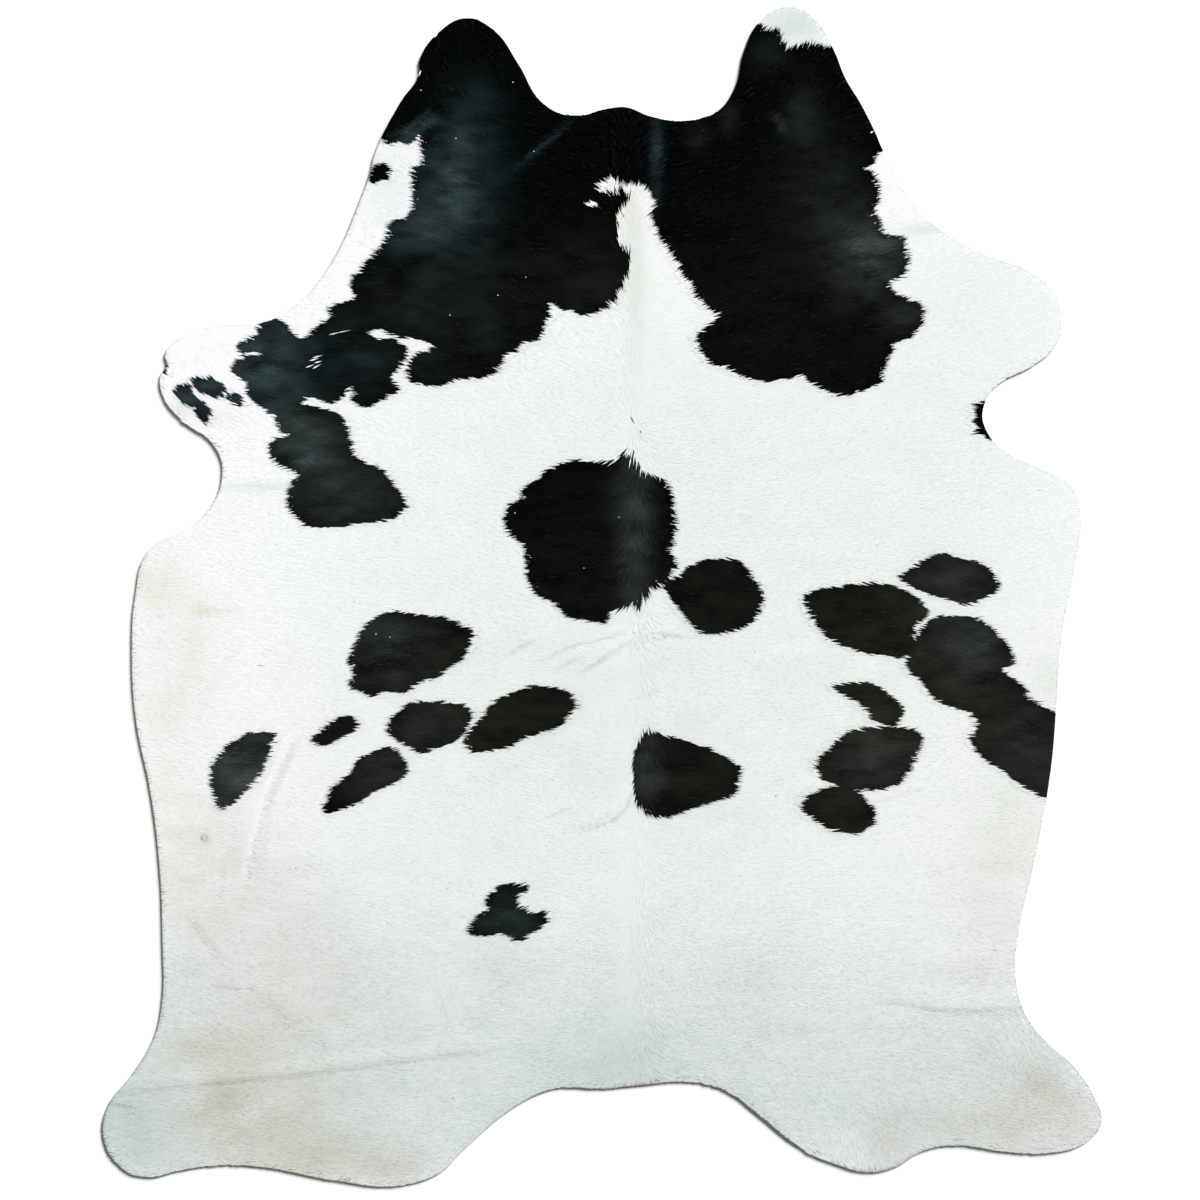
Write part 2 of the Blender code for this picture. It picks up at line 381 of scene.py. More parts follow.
PARTINGS = (
    Parting("belly", 0.0120, 0.0, 0.12, (
        (298, 738), (290, 752), (279, 776), (268, 800), (262, 832), (254, 868), (247, 892),
    )),
    Parting("belly, upper", 0.0110, 0.0, 0.24, (
        (298, 738), (290, 752), (279, 776), (268, 800), (262, 836),
    )),
    Parting("left fold", 0.0040, 0.0001, 0.06, (
        (106, 1096), (189, 1087.4), (234, 1083.5), (276, 1079), (321, 1074.5),
        (378, 1066.4), (429, 1059.5), (486, 1053.4), (526, 1046),
    )),
    Parting("right fold", 0.0050, 0.0001, 0.05, (
        (898, 999), (929, 1010), (973, 1011), (1040, 1008),
    )),
    Parting("left flank wave", 0.0130, 0.0, 0.06, (
        (250, 632), (223, 666), (208, 692), (191, 720),
    )),
    Parting("left flank wave, second", 0.0130, 0.0, 0.05, ((300, 640), (272, 692))),
    Parting("stifle", 0.0050, 0.0003, 0.18, ((187, 914), (203, 937), (221, 961))),
    Parting("shelf", 0.0045, 0.0003, 0.16, ((214, 985), (231, 990), (258, 989))),
    Parting("notch", 0.0045, 0.0005, 0.32, ((108, 1104), (132, 1109))),
    Parting("loin, upper", 0.0060, 0.0003, 0.10, (
        (532, 665), (569, 648), (613, 637), (628, 632),
    )),
    Parting("loin, over the spine", 0.0050, 0.0003, 0.18, (
        (620, 648), (640, 638.6), (657, 635.7), (684, 637.5),
    )),
    Parting("loin, lower branch", 0.0060, 0.0003, 0.10, (
        (632, 641), (610, 654), (596, 664), (576, 677),
    )),
    Parting("loin, short", 0.0050, 0.0003, 0.10, ((554, 672), (580, 657))),
    Parting("loin, right", 0.0045, 0.0003, 0.10, ((634, 697), (662, 689))),
    Parting("loin, foot", 0.0060, 0.0004, 0.20, (
        (636, 783), (626, 808), (613, 821), (578, 835),
    )),
    Parting("loin, foot, second", 0.0050, 0.0003, 0.09, ((541, 821), (570, 807))),
    Parting("withers, left", 0.0050, 0.0003, 0.10, ((532, 640), (505, 657))),
    Parting("right side", 0.0050, 0.0002, 0.07, ((870, 806), (922, 789))),
    Parting("right thigh", 0.0050, 0.0002, 0.07, ((928, 876), (957, 864))),
    Parting("rump", 0.0050, 0.0002, 0.09, ((479, 1001), (511, 981))),
)


def hind_share(places):
    """0 on the back and shoulders, 1 on the hind parts, where the coat is longer."""
    return ease(in_photo(places)[:, 1], *HIND_ROWS)


def parted(places, what):
    """The deepest parting at each place, by depth or by its share of painted shade."""
    return np.max([
        getattr(parting_shade, what)
        * ridge(parting_shade.path, parting_shade.half_width, parting_shade.half_width, places)
        for parting_shade in PARTINGS
    ], axis=0)


def coat_floor(places):
    """Height of the underfur, with its partings."""
    return lift(places) + FUR_FLOOR - parted(places, "depth")


def coat_top(places):
    """Height at which the locks lie, with the coat's waves."""
    waves = WAVE_HEIGHT * (CALM + (1 - CALM) * hind_share(places))
    return coat_floor(places) + waves * soft_noise(places, WAVE_SIZE, 13, WAVE_STRETCH)


def coat_normal(places, step=0.002):
    """Unit normals of the coat's surface, from its heights a step to each side."""
    east = coat_top(places + (step, 0)) - coat_top(places - (step, 0))
    north = coat_top(places + (0, step)) - coat_top(places - (0, step))
    normal = np.column_stack((-east, -north, np.full(len(places), 2 * step)))
    return normal / np.linalg.norm(normal, axis=1)[:, None]


print(len(PARTINGS), "partings, underfur at", round(FUR_FLOOR * 1000, 2), "mm")

# %% [markdown]
# ## The cut edge and the leather
#
# The leather's outline is walked straight off the CAD part: it is the ring of edges
# where the flat underside meets the narrow cut edge. A sheet made by filling that ring
# with an even net of points, 11.5 mm apart and closer beside folds, can follow the folds
# on both faces. A voxel remesh would round the cut edge away, and a subdivided grid
# would leave steps in it.

# %% Walk the rim of the CAD part
NET_STEP = 0.0115
CREASE_STEP = 0.0042                   # the net is finer beside folds and partings
CREASE_BAND = 0.011
RIM_STEP = 0.0065
UPRIGHT = 0.7                          # a face whose normal's z is less stands upright


def walk_rim(solid):
    """The cut edge of the CAD hide as one loop of x, y, in order."""
    shape = bmesh.new()
    shape.from_mesh(solid.data)
    bmesh.ops.remove_doubles(shape, verts=shape.verts, dist=1e-5)
    shape.normal_update()
    neighbours = {}
    for edge in shape.edges:
        downs = sorted(face.normal.z for face in edge.link_faces)
        if len(downs) == 2 and downs[0] < -UPRIGHT and abs(downs[1]) < UPRIGHT:
            first, second = edge.verts
            neighbours.setdefault(first, []).append(second)
            neighbours.setdefault(second, []).append(first)
    start = min(neighbours, key=lambda vert: vert.co.x)
    loop, last, here = [start], None, start
    while True:
        onward = [vert for vert in neighbours[here] if vert is not last]
        last, here = here, onward[0]
        if here is start:
            break
        loop.append(here)
    rim = np.array([vert.co.xy for vert in loop])
    shape.free()
    return rim


def even_steps(loop, step):
    """Points added on the loop's straight stretches, so that none is longer than step."""
    made = []
    for start, end in zip(loop, np.roll(loop, -1, 0)):
        count = max(1, math.ceil(np.linalg.norm(end - start) / step))
        made.extend(start + (end - start) * i / count for i in range(count))
    return np.array(made)


cut_edge = walk_rim(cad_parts["hide"])
forward = np.roll(cut_edge, -1, 0)
turning = (cut_edge[:, 0] * forward[:, 1] - forward[:, 0] * cut_edge[:, 1]).sum() / 2
if turning < 0:
    cut_edge = cut_edge[::-1]

# %% The even net inside it
ROW_STEP = math.sqrt(0.75)             # height of an equal triangle with sides of 1
SHAKE = 0.42                           # of the step, to each side
RIM_CLEARANCE = 0.45                   # of the step


def even_net(step, seed=None):
    """A net of equal triangles' corners over the hide's box, shaken a little by a seed."""
    columns = math.ceil((hide_high.x - hide_low.x) / step) + 1
    rows = math.ceil((hide_high.y - hide_low.y) / (step * ROW_STEP)) + 1
    column, row = np.meshgrid(np.arange(columns), np.arange(rows))
    net = np.column_stack((
        hide_low.x + (column + 0.5 * (row % 2)).ravel() * step,
        hide_low.y + row.ravel() * step * ROW_STEP,
    ))
    if seed is not None:
        net += np.random.default_rng(seed).uniform(-SHAKE, SHAKE, net.shape) * step
    return net


def by_crease(places, reach):
    """Whether each place lies within reach of a fold's crest or of a parting."""
    near = np.zeros(len(places), bool)
    for crease in FOLDS + PARTINGS:
        rows = rows_near(crease.path, places, reach)
        gap, _ = near_path(crease.path, places[rows])
        near[rows] |= np.abs(gap) < reach
    return near


rim = even_steps(cut_edge, RIM_STEP)
plain_net, crease_net = even_net(NET_STEP), even_net(CREASE_STEP)
plain_net = plain_net[~by_crease(plain_net, CREASE_BAND)]
plain_net = plain_net[depth_in(cut_edge, plain_net) > RIM_CLEARANCE * NET_STEP]
crease_net = crease_net[by_crease(crease_net, CREASE_BAND)]
crease_net = crease_net[depth_in(cut_edge, crease_net) > RIM_CLEARANCE * RIM_STEP]
net = np.vstack((plain_net, crease_net))
filled = delaunay_2d_cdt(
    [Vector(place) for place in np.vstack((rim, net))], [], [list(range(len(rim)))], 1, 1e-6
)
flat_places = np.array(filled[0])
flat_faces = filled[2]
print(len(flat_places), "points on each face of the leather,", len(crease_net), "by creases")

# %% [markdown]
# ## The black patches
#
# The markings are the animal's own colours: they grow with the hair, so they aren't
# raised and aren't printed. Each patch is a loop through points read off the
# photograph. Where two patches run into each other the loops overlap, and a white gap
# is cut out of them again.

# %% Patches of black hair
BLACK_PATCHES = {
    "left neck and shoulder": (
        (362, 134), (384, 140), (388, 144), (399, 142), (404, 145), (411, 145), (416, 141),
        (420, 134), (419, 142), (422, 152), (420, 165), (413, 168), (412, 184), (414, 199),
        (411, 211), (406, 218), (390, 222), (387, 235), (382, 245), (368, 260), (353, 277),
        (353, 290), (357, 297), (343, 303), (330, 307), (330, 319), (325, 327), (313, 331),
        (320, 342), (345, 344), (368, 338), (372, 331), (378, 330), (389, 332), (399, 337),
        (422, 341), (433, 344), (429, 350), (414, 356), (408, 369), (410, 382), (422, 384),
        (437, 388), (450, 383), (460, 380), (486, 378), (498, 370), (505, 361), (505, 355),
        (517, 352), (524, 342), (536, 342), (545, 332), (545, 323), (552, 315), (549, 303),
        (559, 308), (572, 311), (585, 315), (602, 311), (614, 302), (618, 292), (627, 279),
        (630, 260), (627, 249), (618, 243), (619, 226), (617, 214), (626, 206), (629, 200),
        (627, 193), (620, 188), (611, 190), (602, 193), (597, 188), (602, 182), (610, 178),
        (620, 183), (630, 185), (642, 184), (650, 150), (650, 60), (600, -30), (400, -30),
        (350, 40), (350, 110),
    ),
    "right neck and shoulder": (
        (640, 184), (646, 188), (652, 199), (654, 207), (650, 214), (656, 233), (666, 249),
        (677, 262), (681, 275), (692, 285), (696, 296), (710, 310), (718, 316), (704, 327),
        (695, 338), (702, 353), (713, 366), (725, 367), (738, 375), (755, 381), (765, 383),
        (774, 380), (786, 379), (801, 376), (809, 383), (822, 390), (843, 397), (856, 392),
        (880, 383), (883, 372), (886, 363), (892, 350), (892, 343), (908, 338), (923, 323),
        (921, 319), (925, 310), (915, 301), (900, 296), (888, 283), (904, 275), (909, 261),
        (906, 245), (902, 237), (890, 236), (882, 230), (880, 222), (875, 209), (879, 197),
        (878, 182), (873, 172), (865, 168), (872, 165), (875, 158), (881, 151), (905, 148),
        (930, 100), (880, 52), (833, 47), (820, 45), (810, 43), (795, 46), (789, 47),
        (782, 39), (779, 31), (767, 29), (759, 24), (735, 20), (690, 50), (630, 60),
        (630, 150),
    ),
    "left shoulder chain": (
        (279, 319), (269, 321), (257, 327), (258, 334), (246, 340), (237, 346), (242, 354),
        (252, 352), (265, 354), (250, 356), (235, 363), (233, 372), (246, 382), (248, 395),
        (258, 405), (269, 412), (276, 418), (277, 426), (285, 437), (273, 440), (269, 447),
        (275, 462), (294, 473), (298, 477), (290, 485), (288, 506), (298, 519), (313, 527),
        (343, 527), (366, 524), (389, 521), (406, 508), (402, 494), (391, 479), (378, 466),
        (357, 457), (351, 437), (343, 416), (322, 407), (303, 404), (315, 398), (334, 404),
        (344, 398), (350, 388), (353, 384), (351, 396), (355, 402), (372, 407), (393, 395),
        (400, 388), (393, 376), (404, 363), (408, 348), (395, 340), (378, 339), (366, 330),
        (345, 324), (325, 322), (313, 331), (309, 336), (298, 338), (288, 325),
    ),
    "left cheek spot": (
        (378, 165), (383, 163), (389, 164), (391, 172), (389, 180), (380, 181), (374, 184),
        (370, 178), (371, 171),
    ),
    "left shank, upper": (
        (191, 379), (210, 377), (216, 381), (225, 384), (227, 390), (220, 399), (208, 396),
        (197, 391),
    ),
    "left shank, outer": (
        (173, 392), (176, 386), (189, 384), (193, 390), (194, 401), (193, 407), (185, 406),
        (180, 399),
    ),
    "left shank, tail": (
        (192, 394), (202, 401), (211, 409), (210, 418), (205, 425), (199, 418), (194, 409),
    ),
    "left shank, inner": (
        (225, 397), (235, 392), (243, 397), (245, 403), (240, 407), (233, 403),
    ),
    "left shank, notch": ((162, 361), (167, 360), (168, 366), (168, 373), (162, 373)),
    "right armpit": (
        (974, 404), (986, 402), (1000, 420), (992, 440), (983, 436), (973, 433), (976, 427),
        (971, 421), (975, 414), (972, 409),
    ),
    "withers": (
        (504, 520), (506, 511), (512, 503), (519, 499), (521, 492), (529, 484), (540, 478),
        (545, 471), (557, 466), (567, 463), (580, 460), (595, 461), (607, 460), (618, 459),
        (623, 451), (628, 455), (635, 459), (640, 467), (648, 473), (658, 476), (665, 480),
        (670, 490), (674, 505), (676, 524), (674, 537), (673, 545), (669, 551), (677, 563),
        (670, 575), (662, 586), (652, 588), (647, 596), (641, 602), (639, 610), (634, 607),
        (622, 608), (610, 614), (608, 622), (599, 622), (580, 619), (565, 615), (555, 604),
        (542, 597), (535, 592), (529, 583), (526, 566), (526, 552), (517, 540), (508, 533),
    ),
    "right of the withers": (
        (664, 586), (677, 577), (685, 568), (698, 561), (715, 558), (732, 558), (742, 563),
        (751, 575), (762, 590), (763, 600), (756, 616), (747, 625), (735, 630), (713, 634),
        (696, 631), (687, 621), (678, 610), (670, 600),
    ),
    "right ribs, outer": (
        (898, 577), (914, 566), (931, 555), (943, 553), (964, 560), (982, 564), (994, 576),
        (999, 584), (994, 593), (966, 604), (939, 598), (913, 588),
    ),
    "right ribs, inner": (
        (805, 597), (821, 588), (847, 584), (872, 582), (894, 586), (915, 597), (929, 613),
        (915, 626), (915, 646), (902, 658), (886, 656), (862, 653), (829, 640), (811, 617),
    ),
    "right ribs to the flank edge": (
        (933, 617), (953, 616), (978, 619), (1002, 638), (1015, 662), (1002, 670),
        (1025, 687), (1031, 700), (1055, 713), (1080, 730), (1080, 800), (1047, 798),
        (1029, 792), (1004, 773), (984, 760), (970, 741), (976, 724), (970, 713), (953, 708),
        (935, 701), (921, 683), (904, 666), (911, 650), (919, 632),
    ),
    "right ribs, comma": (
        (831, 687), (847, 682), (870, 682), (888, 695), (902, 706), (902, 717), (894, 725),
        (872, 722), (868, 713), (851, 701),
    ),
    "right ribs, lower": (
        (815, 762), (831, 746), (851, 730), (878, 726), (902, 728), (919, 733), (921, 744),
        (915, 760), (902, 781), (886, 788), (857, 790), (833, 785), (819, 775),
    ),
    "right ribs, last": (
        (800, 808), (811, 793), (831, 786), (851, 788), (866, 799), (875, 814), (872, 825),
        (853, 834), (835, 832), (817, 823),
    ),
    "left ribs, big": (
        (349, 658), (355, 644), (361, 631), (369, 622), (389, 612), (408, 612), (429, 615),
        (448, 617), (459, 623), (473, 629), (473, 640), (465, 656), (457, 664), (438, 677),
        (419, 684), (406, 692), (390, 692), (375, 696), (362, 693), (352, 688), (350, 681),
        (355, 676), (352, 669),
    ),
    "left ribs, second": (
        (387, 730), (388, 723), (400, 711), (408, 704), (423, 702), (444, 701), (452, 704),
        (467, 705), (473, 715), (469, 726), (463, 734), (455, 742), (438, 749), (419, 752),
        (408, 746), (394, 739),
    ),
    "left ribs, third": (
        (465, 738), (485, 714), (490, 706), (520, 690), (552, 686), (570, 692), (578, 704),
        (568, 719), (555, 730), (526, 739), (507, 749), (477, 752), (467, 746),
    ),
    "left ribs, foot": (
        (323, 811), (327, 799), (333, 786), (348, 776), (355, 767), (358, 759), (371, 754),
        (387, 746), (396, 748), (402, 755), (408, 770), (402, 780), (390, 786), (379, 790),
        (367, 797), (356, 805), (333, 813),
    ),
    "left ribs, small": (
        (312, 740), (325, 727), (339, 718), (350, 715), (359, 722), (358, 729), (348, 736),
        (333, 744), (325, 745), (317, 744),
    ),
    "left flank": (
        (211, 780), (213, 765), (218, 757), (226, 746), (237, 740), (249, 733), (257, 733),
        (270, 732), (276, 734), (272, 744), (269, 757), (264, 770), (257, 780), (247, 791),
        (235, 802), (226, 808), (218, 809), (214, 795),
    ),
    "right loin": (
        (633, 773), (634, 752), (644, 732), (665, 735), (689, 742), (715, 752), (739, 767),
        (739, 778), (733, 795), (704, 804), (678, 814), (661, 818), (639, 808), (634, 788),
    ),
    "left rump": (
        (469, 933), (475, 918), (488, 910), (485, 903), (494, 890), (507, 884), (527, 884),
        (529, 890), (518, 898), (525, 908), (535, 912), (546, 910), (546, 923), (533, 934),
        (520, 941), (503, 933), (490, 936),
    ),
}
WHITE_GAPS = {
    "gap by the nape": ((586, 205), (591, 203), (597, 203), (598, 207), (592, 207)),
}
PATCH_REACH = 0.06                     # no distance past this is needed
LUMPS = ((0.0012, 0.013, 11), (0.0007, 0.006, 12))     # height, size and seed
patch_loops = [on_floor(smooth_loop(edge)) for edge in BLACK_PATCHES.values()]
gap_loops = [on_floor(smooth_loop(edge)) for edge in WHITE_GAPS.values()]


def blackness(places):
    """Depth inside the nearest black patch in metres, negative in the white."""
    depth = np.full(len(places), -PATCH_REACH)
    for loop in patch_loops:
        depth = np.maximum(depth, depth_in(loop, places, PATCH_REACH))
    for loop in gap_loops:
        depth = np.minimum(depth, -depth_in(loop, places, PATCH_REACH))
    return depth


def frayed(places):
    """The same with the small lumps and bites that the patches' borders have."""
    lumps = sum(height * soft_noise(places, size, seed) for height, size, seed in LUMPS)
    return blackness(places) + lumps


print(len(BLACK_PATCHES), "black patches,", len(WHITE_GAPS), "white gaps")

# %% [markdown]
# ## The hide's mesh
#
# The hide is one closed sheet: 2.5 mm of leather, and on it the short, dense underfur
# that fills the space between the longer locks. Both faces use the same net. At the cut
# edge two narrow bands of quads close it: bare leather below, and the ends of the fur
# above, drawn in by 0.6 mm, because the fur rounds over at the edge.

# %% Build the hide
UNDERCOAT, SUEDE, CUT_LEATHER = 0, 1, 2
FUR_ROUNDING = 0.0006
UNDERFUR_SINK = (0.00004, 0.00003)     # below the locks, and further on the hind parts
collection = bpy.data.collections.new("cowhide rug")
bpy.context.scene.collection.children.link(collection)


def build_hide():
    """One closed sheet, with its coat side, flesh side and cut edge as material slots."""
    faces, slots, borders = [], [], {}
    count = len(flat_places)
    for face in flat_faces:
        a, b, c = (flat_places[i] for i in face)
        if (b[0] - a[0]) * (c[1] - a[1]) < (b[1] - a[1]) * (c[0] - a[0]):
            face = face[::-1]
        faces += [tuple(i + count for i in face), tuple(face[::-1])]
        slots += [UNDERCOAT, SUEDE]
        for start, end in zip(face, face[1:] + face[:1]):
            if borders.pop((end, start), None) is None:
                borders[(start, end)] = True
    ring = [start for start, _ in borders]
    middle = {corner: 2 * count + order for order, corner in enumerate(ring)}
    inward = np.zeros((count, 2))
    for start, end in borders:
        run = flat_places[end] - flat_places[start]
        push = np.array((-run[1], run[0])) / np.linalg.norm(run)
        inward[start] += push / 2
        inward[end] += push / 2
        faces.append((start, end, middle[end], middle[start]))
        faces.append((middle[start], middle[end], end + count, start + count))
        slots += [CUT_LEATHER, UNDERCOAT]
    rise = lift(flat_places)
    under = np.column_stack((flat_places, rise))
    sink = UNDERFUR_SINK[0] + UNDERFUR_SINK[1] * hind_share(flat_places)
    fur_edge = flat_places + inward * FUR_ROUNDING
    over = np.column_stack((fur_edge, coat_floor(flat_places) - sink))
    between = np.column_stack((flat_places[ring], rise[ring] + LEATHER))
    mesh = bpy.data.meshes.new("hide_sheet")
    mesh.from_pydata(np.vstack((under, over, between)).tolist(), [], faces)
    mesh.polygons.foreach_set("material_index", slots)
    smooth = np.arange(len(faces)) < 2 * len(flat_faces)
    mesh.polygons.foreach_set("use_smooth", smooth)
    return mesh, ring


hide_mesh, rim_ring = build_hide()
hide_sheet = bpy.data.objects.new("hide_sheet", hide_mesh)
collection.objects.link(hide_sheet)
print(len(hide_mesh.polygons), "hide faces,", len(rim_ring), "corners round the edge")

# %% [markdown]
# ## Which way the coat lies
#
# A coat lies in streams. From the whorl behind the neck it runs up the nape one way and
# down the spine to the tail the other way, and from the spine it turns outwards over the
# ribs: a little upwards on the shoulders, a little downwards behind them. The hind parts
# have longer, wavier hair. Soft noise bends the streams, and its finest scale makes
# neighbouring locks lean together, as they do in real hair.

# %% Streams of the coat
WHORL_Y = 424                          # photograph row of the whorl on the spine
SPINE_WANDER = 2.5                     # pixels by which the middle line wanders
SPINE_TURN = 6.0                       # pixels over which the hair turns to its side
WHORL_TURN = 20.0                      # pixels over which it turns round at the whorl
SPINE_REACH = (14.0, 20.0)             # half width, in pixels, above and below the whorl
SPINE_HOLD = 0.9                       # how far hair on the spine follows it
SLOPE_ROWS = (250, 330, WHORL_Y, 560, 850)
SLOPES = (0.40, 0.25, 0.12, 0.16, 0.10)                # lengthwise share beside the spine
SLOPE_FADE = 420                       # pixels out from the spine
BENDS = ((7, 0.110, 21), (6, 0.040, 22), (4, 0.014, 23))    # degrees, size and seed
HIND_BEND = 1.2                        # share by which the hind parts bend more
spine_line = np.array(SPINE, float)
Turn = namedtuple("Turn", "name x y reach angle")

# Angles are measured in the photograph: 0 points right, 90 points down, -90 points up.
TURNS = (
    Turn("left fore shank", 190, 395, 55, -140),
    Turn("left cheek", 440, 60, 60, -110),
    Turn("right cheek", 800, 50, 60, -70),
    Turn("left hind shank", 150, 1120, 90, 172),
    Turn("right hind shank", 1040, 1110, 80, 4),
    Turn("right hind edge", 1010, 1043, 30, 88),
    Turn("left hind foot", 380, 1160, 50, 165),
    Turn("right hind foot", 860, 1150, 50, 80),
    Turn("left croup", 447, 994, 25, 100),
    Turn("left thigh", 312, 991, 20, 95),
    Turn("right thigh", 941, 941, 24, 0),
)


def streams(places):
    """Unit directions in which the coat lies, with x and y as on the floor."""
    photo = in_photo(places)
    x, y = photo[:, 0], photo[:, 1]
    out = x - np.interp(y, spine_line[:, 1], spine_line[:, 0])
    out += SPINE_WANDER * soft_noise(places, 0.045, 20)
    side = np.tanh(out / SPINE_TURN)
    down = np.tanh((y - WHORL_Y) / WHORL_TURN)
    spine_reach = np.interp(y, (WHORL_Y - 30, WHORL_Y + 30), SPINE_REACH)
    along_spine = SPINE_HOLD * np.exp(-((out / spine_reach) ** 2))
    slope = np.interp(y, SLOPE_ROWS, SLOPES) * np.exp(-np.abs(out) / SLOPE_FADE)
    forward = down * np.clip(along_spine + slope, 0, 0.97)
    sideways = side * np.sqrt(1 - forward ** 2)
    way = np.column_stack((sideways, forward))
    for turn in TURNS:
        near = np.exp(-((x - turn.x) ** 2 + (y - turn.y) ** 2) / turn.reach ** 2)[:, None]
        angle = math.radians(turn.angle)
        way = way * (1 - near) + np.array((math.cos(angle), math.sin(angle))) * near
    bend = (1 + HIND_BEND * hind_share(places)) * sum(
        math.radians(degrees) * soft_noise(places, size, seed)
        for degrees, size, seed in BENDS
    )
    angle = np.arctan2(-way[:, 1], way[:, 0]) + bend
    return np.column_stack((np.cos(angle), np.sin(angle)))


print("streams ready, whorl at", on_floor((636, WHORL_Y)).round(3).tolist())

# %% [markdown]
# ## Where each lock is rooted
#
# Roots stand on a shaken even net: a wide net over the whole hide, and a fine net of
# small locks along the borders of the patches, the deeper partings and the cut edge,
# where the eye looks closest. A lock covers the roots of the next ones, so what is seen
# at a place is the tip of a lock that grew further up. That is why a lock takes its
# colour from a place far along its own length, which differs from lock to lock: this
# frays the borders into strokes. At the cut edge the hair was trimmed with the hide.

# %% Scatter the roots
WIDE_NET = 0.0049
FINE_NET = 0.0021
WIDE_INSET, FINE_INSET = 0.0015, 0.0006                # from the cut edge
BORDER_BAND = 0.0075                   # fine locks lie this close to a patch's border,
EDGE_BAND = 0.0048                     # this close to the cut edge,
PARTING_EDGE = 0.00006                 # and where a parting is deeper than this
LOCK_LENGTH = 0.021
SHORT_LOCK = 0.62                      # a fine lock's length beside a wide one's
FINE_BREADTH = 0.40                    # and its width
OVERHANG = 0.0004                      # how far tips stand over the cut edge
SHORTEST = 0.0032
MIDDLE = 0.62                          # share of a lock's length where its tint is taken
OVER_BORDER = 0.00018                  # how far a lock that crosses a border is raised
LONGER_OVER_BORDER = 1.2
STROKE_SIZE = 0.0036                   # width of the strokes that neighbouring locks make
BORDER_SHARES = (0.30, 1.00)           # shares of its length where its colour is taken

wide, fine = even_net(WIDE_NET, 31), even_net(FINE_NET, 32)
wide_depth, fine_depth = depth_in(cut_edge, wide), depth_in(cut_edge, fine)
wide_kept = wide_depth > WIDE_INSET
fine_kept = fine_depth > FINE_INSET
wide, wide_depth = wide[wide_kept], wide_depth[wide_kept]
fine, fine_depth = fine[fine_kept], fine_depth[fine_kept]
fine_middle = fine + streams(fine) * LOCK_LENGTH * SHORT_LOCK * MIDDLE
fine_kept = (
    (np.abs(blackness(fine_middle)) < BORDER_BAND)
    | (parted(fine_middle, "depth") > PARTING_EDGE)
    | (fine_depth < EDGE_BAND)
)
fine, fine_depth = fine[fine_kept], fine_depth[fine_kept]

roots = np.vstack((wide, fine))
edge_depth = np.concatenate((wide_depth, fine_depth))
is_fine = np.arange(len(roots)) >= len(wide)
print(len(wide), "wide and", len(fine), "fine locks")

# %% Length of each lock
SPINE_COAT = 0.026                     # metres to each side of the spine
NAPE_ROWS, LOIN_ROWS = (150, 200), (600, 760)          # where it begins, and where it thins
LOIN_THINNING = 0.7
BODY_MIDDLE = 620
SHANK_COLUMNS = (330, 430)             # pixels out from the body's middle
SHANK_ROWS = (-430, -330)              # photograph rows, counted upwards
LONGER_SPINE, LONGER_HIND, SHORTER_SHANK = 0.30, 0.20, 0.30
EDGE_ZONE = 0.032                      # locks rooted this near the cut edge may pass it
TRIMS = 5
TRIM_SHARE, TRIM_MORE = 0.8, 0.0003    # of what stands over, and a little more

photo = in_photo(roots)
spine_gap, _ = near_path(SPINE, roots)
spine_coat = np.exp(-((spine_gap / SPINE_COAT) ** 2)) * ease(photo[:, 1], *NAPE_ROWS)
spine_coat *= 1 - LOIN_THINNING * ease(photo[:, 1], *LOIN_ROWS)
hind_coat = hind_share(roots)
far_out = ease(np.abs(photo[:, 0] - BODY_MIDDLE), *SHANK_COLUMNS)
shank_coat = far_out * ease(-photo[:, 1], *SHANK_ROWS)

way = streams(roots)
reach = LOCK_LENGTH * (
    1 + LONGER_SPINE * spine_coat + LONGER_HIND * hind_coat - SHORTER_SHANK * shank_coat
)
reach = np.where(is_fine, reach * SHORT_LOCK, reach)
full_reach = reach.copy()

edge_zone = np.flatnonzero(edge_depth < EDGE_ZONE)
for _ in range(TRIMS):
    tips = roots[edge_zone] + way[edge_zone] * reach[edge_zone, None]
    over = -depth_in(cut_edge, tips) - OVERHANG
    trimmed = reach[edge_zone] - TRIM_SHARE * over - TRIM_MORE
    reach[edge_zone] = np.where(over > 0, trimmed, reach[edge_zone])
    edge_zone = edge_zone[over > 0]
    if not len(edge_zone):
        break
print("locks", round(reach.min() * 1000, 1), "to", round(reach.max() * 1000, 1), "mm long")

# %% Black or white, and how broad
NEAR_ROOT, NEAR_TIP = 0.15, 0.75       # shares of a lock's length
SINGLE_BAND = 0.003                    # single strokes end this close to a border
SINGLE_CHANCE = 0.7
TIED = (0.5, 0.9)                      # middle and spread of the strokes' shared chance
OWN_CHANCE = 0.4
HIND_NARROWER = 0.3
NARROWEST = 0.7                        # of a trimmed lock's width
SINGLE_BREADTH = 0.6
LEAST_RAISED = 0.4                     # of OVER_BORDER


def along_lock(share):
    """The places this share of the way along each lock."""
    return roots + way * (reach * share)[:, None]


chance, whim = np.random.default_rng(33).uniform(0, 1, (2, len(roots)))
tied = TIED[0] + TIED[1] * soft_noise(roots, STROKE_SIZE, 34)
border_share = np.interp(OWN_CHANCE * chance + (1 - OWN_CHANCE) * tied, (0, 1), BORDER_SHARES)
is_black = frayed(along_lock(border_share)) > 0
root_black, tip_black = frayed(along_lock(NEAR_ROOT)) > 0, frayed(along_lock(1.0)) > 0
crossing = root_black != tip_black
at_border = np.abs(blackness(along_lock(NEAR_TIP))) < SINGLE_BAND
single = ~is_fine & crossing & at_border & (whim < SINGLE_CHANCE)
is_black = np.where(single, root_black, is_black)
bridging = parted(along_lock(MIDDLE), "depth") > 2 * PARTING_EDGE
keep = (reach > SHORTEST) & (is_fine | single | ~(crossing | bridging))
ragged = np.where(reach < full_reach, 0.0, 1.0)
